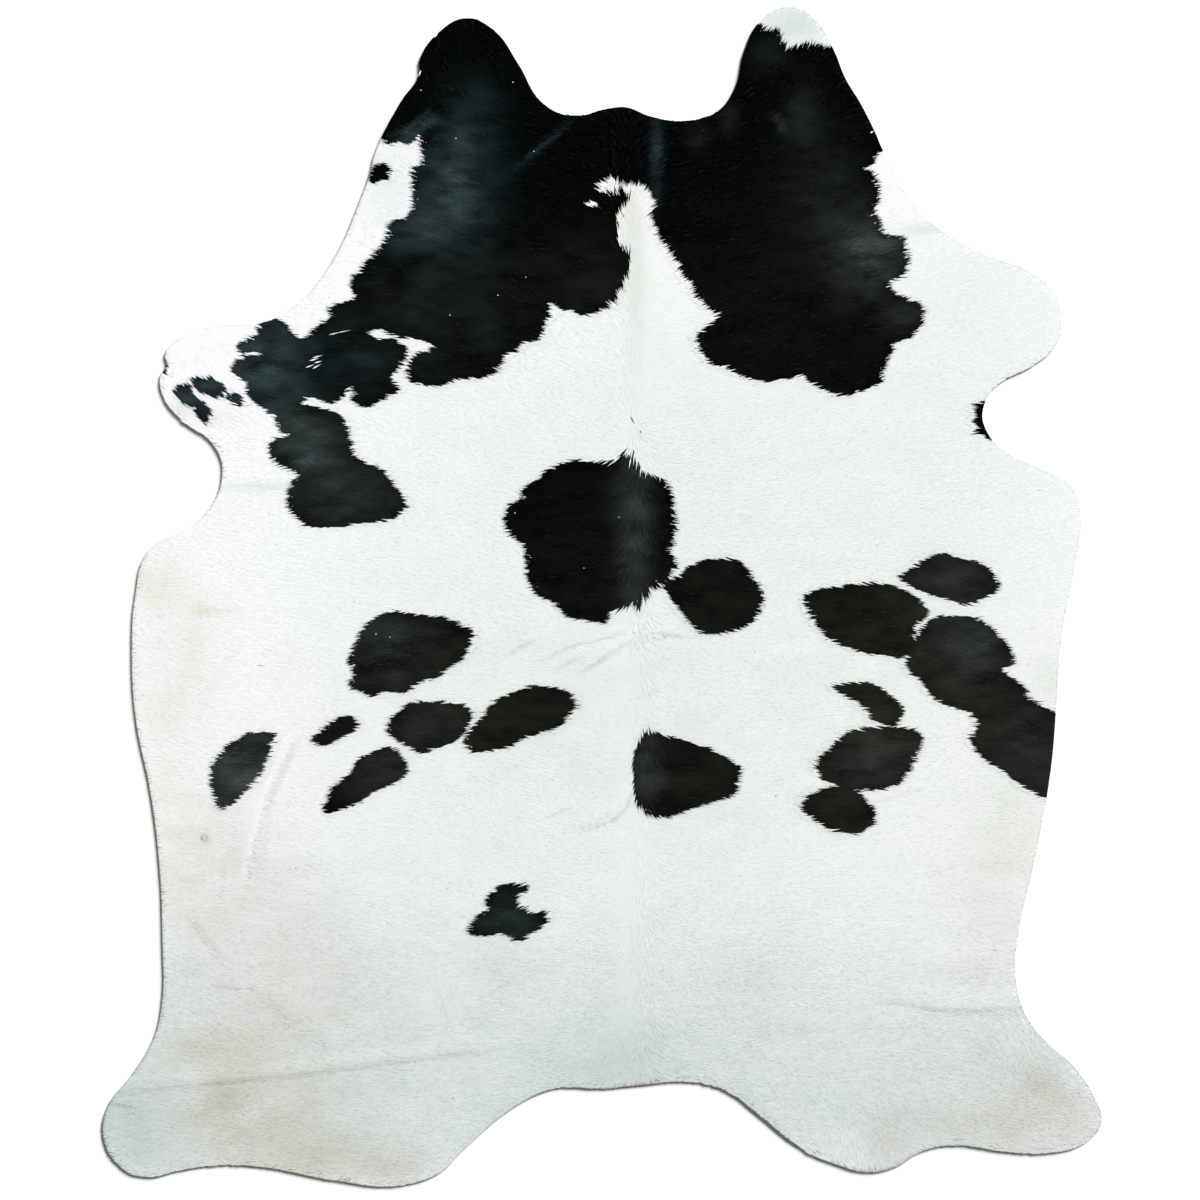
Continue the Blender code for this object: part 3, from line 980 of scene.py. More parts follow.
breadth = np.where(is_fine, FINE_BREADTH, 1.0 - HIND_NARROWER * hind_coat)
breadth *= np.clip(reach / full_reach, NARROWEST, 1) * np.where(single, SINGLE_BREADTH, 1)

# A lock that carries its root's colour over a border lies on top, so that it shows whole.
over_border = crossing & (is_black == root_black)
lifted = OVER_BORDER * (LEAST_RAISED + (1 - LEAST_RAISED) * whim)
raised = np.where(over_border, lifted, 0.0)
reach = np.where(over_border & (ragged > 0), reach * LONGER_OVER_BORDER, reach)
print(int((is_black & keep).sum()), "black locks,", int((~is_black & keep).sum()),
      "white locks,", int((~keep).sum()), "left out")

# %% [markdown]
# ## Single strokes
#
# A few hairs stand out one by one: white hairs that fall over the top of the withers
# patch, the dark hairs in the whorl, the narrow white slits in the left shoulder chain,
# and flecks of white in the black coat and of black in the white. Each is a narrow lock
# laid on top of the others, from its root to its tip. The teat on the left flank
# is a rosette of short beige strokes round a pale middle.

# %% Strokes laid one by one
STROKE_RISE = 0.00030
Stroke = namedtuple("Stroke", "start end width black")

STROKES = [
    Stroke((601, 465), (611, 460), 0.5, False), Stroke((607, 467), (616, 459), 0.4, False),
    Stroke((626, 450), (625, 458), 0.4, False), Stroke((631, 457), (629, 469), 0.5, False),
    Stroke((637, 461), (636, 471), 0.5, False), Stroke((641, 465), (640, 478), 0.5, False),
    Stroke((647, 468), (645, 479), 0.5, False), Stroke((660, 476), (660, 482), 0.4, False),
    Stroke((630, 416), (635, 424), 0.45, True), Stroke((640, 430), (641, 434), 0.35, True),
    Stroke((438, 33), (434, 38), 0.6, False), Stroke((421, 70), (418.5, 77), 0.6, False),
    Stroke((870, 133), (874, 131), 0.6, False),
    Stroke((305, 368), (315, 364), 0.5, False), Stroke((309, 361), (319, 358), 0.6, False),
    Stroke((312, 358), (323, 355), 0.5, False), Stroke((312, 369), (321, 364), 0.5, False),
    Stroke((314, 363), (322, 361), 0.6, False), Stroke((328, 335), (341, 332), 0.4, False),
    Stroke((336, 333), (351, 330), 0.4, False), Stroke((344, 391), (352, 386), 0.5, False),
]
WHITE_FLECKS = (
    (513, 82), (421, 90), (456, 138), (534, 151), (526, 277), (498, 295), (450, 315),
    (515, 513), (619, 517), (584, 568), (376, 634), (390, 637),
)
BLACK_FLECKS = ((776, 796), (453, 1098), (296, 868))
FLECK_HALF, FLECK_TILT = 0.9, 0.3      # half length and drop, in pixels
FLECK_WIDTH = 0.45
for flecks, black in ((WHITE_FLECKS, False), (BLACK_FLECKS, True)):
    for x, y in flecks:
        start, end = (x - FLECK_HALF, y), (x + FLECK_HALF, y + FLECK_TILT)
        STROKES.append(Stroke(start, end, FLECK_WIDTH, black))

TEAT = (204.7, 837.7)
TEAT_HAIRS = 14
TEAT_START, TEAT_END, TEAT_SWIRL = 2.2, 3.6, 3.0       # in pixels from its middle
TEAT_WIDTH = 0.40
for hair in range(TEAT_HAIRS):
    angle = 2 * math.pi * hair / TEAT_HAIRS
    outward = np.array((math.cos(angle), math.sin(angle)))
    swirl = np.array((-outward[1], outward[0]))
    end = TEAT + TEAT_END * outward + TEAT_SWIRL * swirl
    STROKES.append(Stroke(tuple(TEAT + TEAT_START * outward), tuple(end), TEAT_WIDTH, False))

stroke_starts = on_floor([stroke.start for stroke in STROKES])
stroke_runs = on_floor([stroke.end for stroke in STROKES]) - stroke_starts
stroke_reach = np.linalg.norm(stroke_runs, axis=1)
count = len(STROKES)
raised = np.concatenate((raised, np.full(count, STROKE_RISE)))
roots = np.vstack((roots, stroke_starts))
way = np.vstack((way, stroke_runs / stroke_reach[:, None]))
reach = np.concatenate((reach, stroke_reach))
is_black = np.concatenate((is_black, [stroke.black for stroke in STROKES]))
breadth = np.concatenate((breadth, [stroke.width for stroke in STROKES]))
keep = np.concatenate((keep, np.ones(count, bool)))
ragged, spine_coat, hind_coat = (
    np.concatenate((values, np.zeros(count))) for values in (ragged, spine_coat, hind_coat)
)
print(count, "strokes")

# %% [markdown]
# ## Tints in the coat
#
# White hair isn't one white. It is brightest on the left flank and the shanks, cool grey
# over the shoulders, creamy down the back, grey on the hind parts, with tan where the
# hair was worn or stained. Black hair is green-black at the neck and brown-black on the
# body. Where it leans towards the light it shows a sheen, and that sheen is painted into
# its colour: a blue-grey painted sheen, painted highlights along its creases, and a neutral
# grey painted sheen down the spine and over the body. Each tint is a soft oval with a
# given strength, roughened with noise. A tint of negative strength thins out the others
# of its table.

# %% Tint tables
Tint = namedtuple("Tint", "name x y half_width half_height amount turn", defaults=(0,))
OVAL_EDGE = 0.8                        # how fast a tint fades away from its middle

TABLES = {
    "cream": (
        ("nape", 630, 205, 12, 26, 0.60),
        ("upper spine", 636, 270, 12, 60, 0.60),
        ("withers spine", 638, 370, 13, 60, 0.30),
        ("whorl", 634, 434, 16, 14, 0.35),
        ("loin spine", 640, 660, 16, 50, 0.20),
        ("back", 650, 800, 420, 180, 0.34),
        ("right shoulder", 760, 440, 160, 160, 0.14),
        ("rump spine", 640, 1060, 34, 34, 0.55),
        ("left flank edge", 158, 580, 24, 28, 0.75),
        ("left flank stain", 199, 610, 9, 6, 0.80),
        ("left flank smear", 214, 611, 20, 4, 0.50),
        ("stain, upper dot", 149, 572, 4, 3, 0.40),
        ("stain, right dot", 164, 584, 4, 3, 0.30),
        ("stain, left dot", 149, 597, 4, 3, 0.40),
        ("stain, lower dot", 158, 616, 4, 3, 0.30),
        ("yellow band", 192, 648, 11, 34, 0.30),
        ("yellow band, foot", 177, 700, 12, 26, 0.30, 20),
        ("left flank", 165, 690, 50, 110, 0.40),
        ("left fore shank", 182, 410, 16, 11, 0.70),
        ("left fore shank, inner", 222, 416, 16, 8, 0.30),
        ("left belly edge", 170, 860, 40, 90, 0.50),
        ("left rump tufts", 505, 965, 42, 34, 0.16),
        ("right rump tufts", 758, 972, 36, 30, 0.25),
        ("right flank", 1012, 835, 40, 60, 0.60),
        ("right flank edge", 1050, 690, 16, 40, 0.45),
        ("hindquarters", 620, 1080, 480, 90, 0.30),
    ),
    "grey": (
        ("upper spine", 636, 240, 14, 70, 0.16),
        ("shoulders", 640, 420, 330, 190, 0.27),
        ("right side", 970, 480, 130, 240, 0.17),
        ("right fore shank", 990, 290, 110, 90, 0.12),
        ("right neck smudge", 926, 229, 26, 5, 0.40),
        ("right lobe tip", 795, 24, 46, 26, 0.62),
        ("left cheek", 394, 180, 34, 50, 0.26),
        ("left elbow smudge", 255, 487, 34, 5, 0.35),
        ("back", 660, 740, 420, 210, 0.29),
        ("left ribs", 410, 650, 170, 260, 0.10),
        ("rump", 600, 1000, 520, 110, 0.37),
        ("hindquarters", 600, 1115, 560, 90, 0.55),
        ("left hind shank", 128, 1130, 56, 64, 0.74),
        ("left hind edge", 178, 985, 34, 50, 0.24),
        ("tail root", 614, 1070, 44, 40, 0.46),
        ("right hind edge", 1045, 1050, 40, 50, 0.25),
        ("left belly, lower", 290, 880, 90, 60, 0.10),
        ("left hind foot", 320, 1160, 130, 34, 0.22),
        ("right hind feet", 960, 1150, 140, 34, 0.16),
        ("teat, middle", 206, 837.5, 1.8, 1.8, -0.5),
        ("pale right foot", 853, 1138, 18, 10, -0.25),
    ),
    "tan": (
        ("teat", 203.6, 838, 4.0, 4.0, 0.55),
        ("left belly", 205, 850, 40, 60, 0.12),
        ("left belly, lower", 250, 905, 70, 60, 0.22),
        ("left thigh", 285, 1000, 100, 70, 0.28),
        ("left stifle", 198, 1047, 42, 18, 0.30),
        ("left hind quarter", 244, 1120, 88, 64, 0.46),
        ("left thigh band", 222, 1104, 22, 36, 0.45),
        ("left hind foot", 316, 1161, 50, 22, 0.44),
        ("left hind foot, tip", 393, 1168, 30, 24, 0.42),
        ("left rump tufts", 505, 968, 32, 20, 0.10),
        ("right rump tufts", 759, 976, 26, 16, 0.06),
        ("right rump smear", 804, 1030, 16, 6, 0.18),
        ("right rump smear, left", 758, 1025, 22, 14, 0.14),
        ("right thigh", 965, 978, 46, 14, 0.12),
        ("right thigh, back", 1000, 925, 60, 70, 0.12),
        ("right hind edge", 970, 1045, 60, 34, 0.12),
        ("right shank streak", 1045, 1088, 26, 12, 0.42, 25),
        ("right shank", 1040, 1120, 90, 50, 0.34),
        ("right hind foot, outer", 963, 1127, 44, 18, 0.18),
        ("right hind foot", 892, 1140, 26, 28, 0.30),
    ),
    # painted sheen in blue-grey where the black hair leans towards the light, and painted
    # highlights along its creases
    "sheen": (
        ("left neck, upper", 468, 128, 24, 38, 0.24, 10),
        ("left neck, middle", 448, 190, 34, 46, 0.44, 12),
        ("left neck, brightest", 454, 190, 17, 27, 0.40),
        ("left neck, lower", 415, 226, 28, 22, 0.36),
        ("left shoulder", 440, 310, 84, 64, 0.08),
        ("left chain", 264, 364, 36, 42, 0.54),
        ("left chain, inner", 350, 365, 44, 30, 0.12),
        ("left chain, waist", 302, 440, 34, 26, 0.18),
        ("left chain, crease", 307, 459, 12, 6, 0.50, -35),
        ("left shank marks", 205, 394, 40, 26, 0.50),
        ("right flank", 975, 640, 34, 30, 0.14),
        ("left ribs, big", 383, 640, 36, 30, 0.12),
        ("left rump", 508, 915, 40, 30, 0.14),
        ("nape streak", 658, 159, 5, 32, 0.36),
        ("neck crease", 543, 143, 26, 3, 0.32, -41),
        ("cheek crease", 412, 132, 22, 5, 0.80, -34),
    ),
    # painted sheen in a neutral grey, down the spine and over the neck, shoulders and body
    "ash_sheen": (
        ("withers band", 635, 500, 17, 40, 0.52),
        ("withers band, lower", 635, 568, 14, 44, 0.52),
        ("right neck", 824, 194, 34, 52, 0.14),
        ("right neck, upper", 803, 112, 16, 26, 0.18),
        ("right lobe", 768, 52, 16, 16, 0.14),
        ("right shoulder edge", 874, 250, 30, 34, 0.66),
        ("right shoulder, tip", 905, 315, 26, 18, 0.22),
        ("neck sheen", 699, 135, 10, 14, 0.16),
        ("neck sheen, second", 730, 117, 8, 12, 0.24),
        ("neck sheen line", 780, 121, 10, 3, 0.35, 52),
        ("left flank", 240, 768, 36, 42, 0.76),
        ("right flank", 975, 640, 34, 30, 0.14),
        ("right flank, foot", 1040, 750, 40, 50, 0.22),
        ("right ribs, outer", 955, 578, 44, 24, 0.22),
        ("left chain, waist", 306, 438, 40, 30, 0.40),
        ("left chain, foot", 342, 494, 56, 30, 0.36),
        ("left ribs, big", 383, 640, 36, 30, 0.20),
        ("left ribs, second", 420, 728, 34, 24, 0.16),
        ("left ribs, foot", 380, 770, 36, 24, 0.28),
        ("left rump", 508, 915, 40, 30, 0.16),
        ("right ribs, lower", 880, 760, 40, 30, 0.22),
        ("right loin", 648, 770, 14, 34, 0.35),
    ),
    "brown": (
        ("withers", 570, 540, 70, 80, 0.13),
        ("right of the withers", 712, 598, 60, 50, 0.27),
        ("right shoulder", 780, 320, 120, 90, 0.20),
        ("left shoulder, inner", 590, 280, 50, 40, 0.34),
        ("left shoulder", 440, 310, 90, 60, 0.20),
        ("ribs, left", 440, 700, 150, 90, 0.62),
        ("ribs, right", 910, 710, 150, 150, 0.86),
        ("right loin", 700, 780, 70, 50, 0.32),
    ),
}


def tinted(table, photo):
    """Strength of a table's tints at photograph places, overlapping ones adding softly."""
    left_over = np.ones(len(photo))
    for tint in (Tint(*row) for row in table):
        cosine, sine = math.cos(math.radians(tint.turn)), math.sin(math.radians(tint.turn))
        right, down = photo[:, 0] - tint.x, photo[:, 1] - tint.y
        along = (right * cosine + down * sine) / tint.half_width
        across = (down * cosine - right * sine) / tint.half_height
        left_over *= 1 - tint.amount * np.exp(-OVAL_EDGE * (along ** 2 + across ** 2))
    return np.clip(1 - left_over, 0, 1)


print(sum(len(table) for table in TABLES.values()), "tints")

# %% Looks of each lock
CLUMP = (0.016, 41, (1.8, 0.8))        # size in metres, seed and stretch
TUFT = (0.038, 42, (1.4, 0.8))
STRAND = (0.005, 45, (3.0, 0.8))
BY_CLUMP, BY_TUFT = 0.22, 0.16         # how far each moves a lock's tone
BY_STRAND = (0.0, 0.30)                # black coat, white coat
BY_LOCK = (0.4, 0.14)
CALM_WHITE, REST_WHITE, SPINE_UNREST = 0.2, 1.1, 0.6
middles = roots + way * (reach * MIDDLE)[:, None]
clump, tuft, strand = (soft_noise(middles, *noise) for noise in (CLUMP, TUFT, STRAND))
chance = np.random.default_rng(44).uniform(0, 1, len(roots))
ROUGHEN = {
    "cream": (0.25, 0.15), "grey": (0.10, 0.0), "tan": (0.30, 0.20),
    "sheen": (0.35, 0.35), "ash_sheen": (0.25, 0.25), "brown": (0.25, 0.15),
}                                      # by tufts, by clumps
looks = {}
for name, (by_tuft, by_clump) in ROUGHEN.items():
    strength = tinted(TABLES[name], in_photo(middles))
    looks[name] = np.clip(strength * (1 + by_tuft * tuft + by_clump * clump), 0, 1)
# painted shade where the coat parts, a darker grey laid into the white hair
looks["parting_shade"] = parted(middles, "shade")
livelier = np.maximum(hind_coat, SPINE_UNREST * spine_coat)
unrest = np.where(is_black, 1.0, CALM_WHITE + REST_WHITE * livelier)
by_lock, by_strand = np.where(is_black, *BY_LOCK), np.where(is_black, *BY_STRAND)
uneven = BY_CLUMP * clump + BY_TUFT * tuft + by_strand * strand + by_lock * (chance - 0.5)
looks["tone"] = np.clip(0.5 + unrest * uneven, 0, 1)
print({name: round(float(values.mean()), 3) for name, values in looks.items()})

# %% The same tints on the underfur
underfur_looks = {name: tinted(table, in_photo(flat_places)) for name, table in TABLES.items()}
# the same painted shade on the underfur
underfur_looks["parting_shade"] = parted(flat_places, "shade")
underfur_looks["black_depth"] = blackness(flat_places)
for name, values in underfur_looks.items():
    layer = hide_mesh.attributes.new(name, "FLOAT", "POINT")
    everywhere = np.concatenate((values, values, values[rim_ring]))
    layer.data.foreach_set("value", everywhere.astype(np.float32))
print(len(underfur_looks), "values at each point of the hide")

# %% [markdown]
# ## One lock, and how it is laid
#
# A real coat has about a thousand hairs to the square centimetre, far finer than a pixel.
# What the eye sees is locks: some dozens of hairs that cling together and end in one
# point. One lock is a long kite with a low ridge, four faces in all, closed underneath.
# Geometry Nodes lay it on every root. The tree has the sizes as named inputs and a fixed
# seed for what differs from lock to lock.

# %% The lock itself
WIDEST_AT = 0.38

lock_mesh = bpy.data.meshes.new("hair_lock")
lock_mesh.from_pydata(
    [(0, 0, 0), (WIDEST_AT, 0.5, -1), (WIDEST_AT, -0.5, -1), (1, 0, 0)],
    [], [(0, 3, 1), (0, 2, 3), (0, 1, 2), (3, 2, 1)],
)
hair_lock = bpy.data.objects.new("hair_lock", lock_mesh)
print("a lock has", len(lock_mesh.polygons), "faces")

# %% The tree that lays the locks
LOCK_INPUTS = (
    ("Lock width", "NodeSocketFloat", 0.0044),
    ("Ridge height", "NodeSocketFloat", 0.00002),
    ("Tip rise", "NodeSocketFloat", 0.00011),
    ("Uneven length", "NodeSocketFloat", 0.34),
    ("Stray angle", "NodeSocketFloat", math.radians(11)),
    ("Seed", "NodeSocketInt", 7),
)
ROOT_VALUES = {
    "reach": "FLOAT", "ragged": "FLOAT", "loft": "FLOAT", "breadth": "FLOAT",
    "comb": "FLOAT_VECTOR", "upright": "FLOAT_VECTOR",
}
# Sums made for each lock, in order: the result's name, the operation and its two numbers,
# each a number or the name of one that is known by then.
LOCK_SUMS = (
    ("loss", "MULTIPLY", "shorter by", "ragged"),
    ("left", "SUBTRACT", 1.0, "loss"),
    ("length", "MULTIPLY", "reach", "left"),
    ("stray", "MULTIPLY", "turned by", "ragged"),
    ("full rise", "MULTIPLY", "Tip rise", "loft"),
    ("rise", "MULTIPLY", "full rise", "rise share"),
    ("broad", "MULTIPLY", "breadth", "breadth share"),
    ("width", "MULTIPLY", "Lock width", "broad"),
    ("full ridge", "MULTIPLY", "broad", "loft"),
    ("ridge", "MULTIPLY", "Ridge height", "full ridge"),
)


def build_laying_tree():
    """Roots in, coat out: instance, turn, scale, then one plain mesh."""
    tree = bpy.data.node_groups.new("lay the locks", "GeometryNodeTree")
    face = tree.interface
    face.new_socket("Roots", in_out="INPUT", socket_type="NodeSocketGeometry")
    face.new_socket("Lock", in_out="INPUT", socket_type="NodeSocketObject")
    face.new_socket("Hair", in_out="INPUT", socket_type="NodeSocketMaterial")
    for name, kind, value in LOCK_INPUTS:
        socket = face.new_socket(name, in_out="INPUT", socket_type=kind)
        socket.default_value = value
    face.new_socket("Coat", in_out="OUTPUT", socket_type="NodeSocketGeometry")
    known = {socket.name: socket for socket in add(tree, "NodeGroupInput").outputs}

    for name, kind in ROOT_VALUES.items():
        read = add(tree, "GeometryNodeInputNamedAttribute", {"Name": name}, data_type=kind)
        known[name] = read.outputs["Attribute"]
    leftmost = add(tree, "ShaderNodeMath", {0: known["Stray angle"], 1: -1.0},
                   operation="MULTIPLY").outputs[0]
    chances = (
        ("shorter by", 0.0, known["Uneven length"]),
        ("turned by", leftmost, known["Stray angle"]),
        ("rise share", 0.65, 1.1),
        ("breadth share", 0.75, 1.2),
    )
    for number, (name, low, high) in enumerate(chances, 1):
        seed = add(tree, "ShaderNodeMath", {0: known["Seed"], 1: number}, operation="ADD")
        drawn = add(tree, "FunctionNodeRandomValue",
                    {"Min": low, "Max": high, "Seed": seed.outputs[0]}, data_type="FLOAT")
        known[name] = drawn.outputs["Value"]
    for name, operation, *numbers in LOCK_SUMS:
        first, second = (known.get(number, number) for number in numbers)
        made = add(tree, "ShaderNodeMath", {0: first, 1: second}, operation=operation)
        known[name] = made.outputs[0]

    turned = add(tree, "ShaderNodeVectorRotate",
                 {"Vector": known["comb"], "Angle": known["stray"]},
                 rotation_type="Z_AXIS").outputs[0]
    lying = add(tree, "ShaderNodeVectorMath",
                {0: turned, "Scale": known["length"]}, operation="SCALE").outputs[0]
    up = add(tree, "ShaderNodeCombineXYZ", {"Z": known["rise"]}).outputs[0]
    reaching = add(tree, "ShaderNodeVectorMath", {0: lying, 1: up}, operation="ADD").outputs[0]
    along = add(tree, "FunctionNodeAlignRotationToVector", {"Vector": reaching}, axis="X")
    upright = add(tree, "FunctionNodeAlignRotationToVector",
                  {"Rotation": along.outputs[0], "Vector": known["upright"]},
                  axis="Z", pivot_axis="X")
    size = add(tree, "ShaderNodeCombineXYZ", {
        "X": known["length"], "Y": known["width"], "Z": known["ridge"],
    }).outputs[0]
    lock = add(tree, "GeometryNodeObjectInfo", {"Object": known["Lock"]})
    laid = add(tree, "GeometryNodeInstanceOnPoints", {
        "Points": known["Roots"],
        "Instance": lock.outputs["Geometry"],
        "Rotation": upright.outputs[0],
        "Scale": size,
    })
    real = add(tree, "GeometryNodeRealizeInstances", {"Geometry": laid.outputs[0]})
    coated = add(tree, "GeometryNodeSetMaterial",
                 {"Geometry": real.outputs[0], "Material": known["Hair"]})
    add(tree, "NodeGroupOutput", {"Coat": coated.outputs[0]})
    return tree


laying_tree = build_laying_tree()
print("tree has", len(laying_tree.nodes), "nodes")

# %% [markdown]
# ## Hair materials
#
# Cow hair is keratin with a scaly skin: half matt, with a soft gloss along the hair. The
# white hair carries no pigment, the black carries melanin. Both take their tints from
# the lock's own attributes, and a fine streak noise stands for the single hairs, drawn
# as coarse as the render can show. A lock is a shade darker at its root, where less
# light reaches it.

# %% White hair and black hair
STREAK_MM = 1.3                        # over a dozen hairs; one hair is under 0.1 mm
MOTTLE_MM = 9.0
MOTTLE_SHADES, STREAK_SHADES = (0.99, 1.01), (0.985, 1.015)
ROOT_SHADE = 0.99                      # a lock's root beside its tip
NOISE_RANGE = (0.3, 0.7)               # nearly all of a noise texture's values

# Base, then each tint with its colour at full strength.
# The last white tint is painted shade, where the coat parts.
WHITE_COAT = (
    "#FDFEFF", ("cream", "#E3E6D9"), ("grey", "#BBC8C7"), ("tan", "#B9B6A3"),
    ("parting_shade", "#9A9E9B"),
)
# The last two black tints are painted sheen, blue-grey and neutral grey.
BLACK_COAT = ("#020504", ("brown", "#24231E"), ("sheen", "#38474A"), ("ash_sheen", "#3B423F"))


def coat_colour(tree, colours):
    """The base colour with each tint laid over it in turn, as strong as its attribute says."""
    shown = colour(colours[0])
    for attribute, hex_code in colours[1:]:
        strength = add(tree, "ShaderNodeAttribute", attribute_name=attribute).outputs["Fac"]
        shown = add(tree, "ShaderNodeMix", {0: strength, 6: shown, 7: colour(hex_code)},
                    data_type="RGBA").outputs[2]
    return shown


def hair_material(name, colours, light_spread, roughness, gloss):
    """Hair in tinted colours, with a tone of its own for each lock."""
    material, tree, shader = new_material(name, roughness, gloss)
    place = add(tree, "ShaderNodeTexCoord").outputs["Object"]
    mottle = add(tree, "ShaderNodeTexNoise", {
        "Vector": place, "Scale": 1000 / MOTTLE_MM, "Detail": 3.0, "Roughness": 0.6,
    }).outputs["Fac"]
    streak = add(tree, "ShaderNodeTexNoise", {
        "Vector": place, "Scale": 1000 / STREAK_MM, "Detail": 1.0,
    }).outputs["Fac"]
    own_tone = add(tree, "ShaderNodeAttribute", attribute_name="tone").outputs["Fac"]
    along = add(tree, "ShaderNodeAttribute", attribute_name="along").outputs["Fac"]
    tone = 1.0
    for value, low, high, darkest, lightest in (
        (own_tone, 0.0, 1.0, *light_spread),
        (mottle, *NOISE_RANGE, *MOTTLE_SHADES),
        (streak, *NOISE_RANGE, *STREAK_SHADES),
        (along, 0.0, 0.5, ROOT_SHADE, 1.0),
    ):
        shade = add(tree, "ShaderNodeMapRange", {
            "Value": value, "From Min": low, "From Max": high,
            "To Min": darkest, "To Max": lightest,
        }).outputs[0]
        tone = add(tree, "ShaderNodeMath", {0: tone, 1: shade}, operation="MULTIPLY").outputs[0]
    lit = add(tree, "ShaderNodeVectorMath",
              {0: coat_colour(tree, colours), "Scale": tone}, operation="SCALE")
    tree.links.new(lit.outputs[0], shader.inputs["Base Color"])
    return material


white_hair = hair_material("white cow hair, undyed", WHITE_COAT,
                           light_spread=(0.94, 1.02), roughness=0.6, gloss=0.2)
black_hair = hair_material("black cow hair, undyed", BLACK_COAT,
                           light_spread=(0.55, 1.45), roughness=0.5, gloss=0.01)
print("hair:", white_hair.name, "and", black_hair.name)

# %% [markdown]
# ## Leather materials
#
# Under the coat is the grain side with the short ends of the hair on it, so it has the
# coat's colour, a little duller. The flesh side is chrome-tanned leather buffed to suede:
# pale grey-beige, quite matt, with a nap that shows lighter and darker brushings. The cut
# edge shows the leather's pale inside.

# %% Undercoat, suede and cut leather
CLOUD_RANGE = (0.35, 0.65)             # of the noise, from the dark to the light colour
NAP_DEPTH = 0.0004
NAP_SHARE = 0.4                        # of the nap in the colour, beside the clouds
LEATHER_GLOSS = 0.15
HAIR_END_MM = 2.5                      # a small tuft of short ends
END_SHADES = (0.98, 1.0)
BORDER_RAGGED = 0.002                  # how far the hair ends fray a patch's border
BORDER_SOFT = 0.0008                   # half width of the change from white to black


def leather_material(name, dark, light, roughness, nap_mm, cloud_mm, bump):
    """Leather between two hex colours, with a nap and soft clouds."""
    material, tree, shader = new_material(name, roughness, LEATHER_GLOSS)
    place = add(tree, "ShaderNodeTexCoord").outputs["Object"]
    nap = add(tree, "ShaderNodeTexNoise", {
        "Vector": place, "Scale": 1000 / nap_mm, "Detail": 4.0, "Roughness": 0.65,
    }).outputs["Fac"]
    clouds = add(tree, "ShaderNodeTexNoise", {
        "Vector": place, "Scale": 1000 / cloud_mm, "Detail": 3.0, "Distortion": 0.6,
    }).outputs["Fac"]
    both = add(tree, "ShaderNodeMix", {0: NAP_SHARE, 2: clouds, 3: nap}, data_type="FLOAT")
    share = add(tree, "ShaderNodeMapRange", {
        "Value": both.outputs[0], "From Min": CLOUD_RANGE[0], "From Max": CLOUD_RANGE[1],
        "To Min": 0.0, "To Max": 1.0,
    }).outputs[0]
    shown = add(tree, "ShaderNodeMix", {0: share, 6: colour(dark), 7: colour(light)},
                data_type="RGBA")
    tree.links.new(shown.outputs[2], shader.inputs["Base Color"])
    relief = add(tree, "ShaderNodeBump",
                 {"Height": nap, "Strength": bump, "Distance": NAP_DEPTH})
    tree.links.new(relief.outputs[0], shader.inputs["Normal"])
    return material


def undercoat_material():
    """Short hair ends on the grain side: the coat's two colours, by depth in the patch."""
    material, tree, shader = new_material(
        "undercoat on the grain side", roughness=0.8, gloss=0.1
    )
    place = add(tree, "ShaderNodeTexCoord").outputs["Object"]
    ends = add(tree, "ShaderNodeTexNoise", {
        "Vector": place, "Scale": 1000 / HAIR_END_MM, "Detail": 3.0, "Roughness": 0.6,
    }).outputs["Fac"]
    fraying, shade = (
        add(tree, "ShaderNodeMapRange", {
            "Value": ends, "From Min": NOISE_RANGE[0], "From Max": NOISE_RANGE[1],
            "To Min": least, "To Max": most,
        }).outputs[0]
        for least, most in ((-BORDER_RAGGED, BORDER_RAGGED), END_SHADES)
    )
    black_depth = add(tree, "ShaderNodeAttribute", attribute_name="black_depth")
    depth_here = add(tree, "ShaderNodeMath", {0: black_depth.outputs["Fac"], 1: fraying},
                     operation="ADD")
    dark = add(tree, "ShaderNodeMapRange", {
        "Value": depth_here.outputs[0], "From Min": -BORDER_SOFT, "From Max": BORDER_SOFT,
        "To Min": 0.0, "To Max": 1.0,
    }).outputs[0]
    shown = add(tree, "ShaderNodeMix", {
        0: dark, 6: coat_colour(tree, WHITE_COAT), 7: coat_colour(tree, BLACK_COAT),
    }, data_type="RGBA").outputs[2]
    lit = add(tree, "ShaderNodeVectorMath", {0: shown, "Scale": shade}, operation="SCALE")
    tree.links.new(lit.outputs[0], shader.inputs["Base Color"])
    return material


undercoat = undercoat_material()
suede = leather_material("suede flesh side, chrome tanned", "#A9A08F", "#CFC8B8",
                         roughness=0.95, nap_mm=0.9, cloud_mm=45.0, bump=0.5)
cut_leather = leather_material("cut leather edge", "#9C9588", "#C9C4B8",
                               roughness=0.85, nap_mm=0.5, cloud_mm=12.0, bump=0.35)
for material in (undercoat, suede, cut_leather):
    hide_mesh.materials.append(material)
print("hide slots:", [material.name for material in hide_mesh.materials])

# %% [markdown]
# ## Growing the coat
#
# The roots are shared out into pieces, so that each stays a handy size: the black coat in
# two bands and the white in four, from neck to tail. Each piece starts as bare points
# with attributes, the tree turns them into locks, and the result is kept as a plain
# mesh. Each lock then gets its own small cell in a UV map, in the order in which the
# locks lie, so that colours baked from it stay where they belong.

# %% Lay the locks
UV_INSET = 0.14
ROOT_HEIGHT = 0.00006                  # a root's ridge above the coat's surface
SPINE_LOFT, HIND_LOFT = 1.0, 0.3       # more on the spine, less on the hind parts
LOFT_BY_LENGTH, LEAST_LOFT = 1.3, 0.3


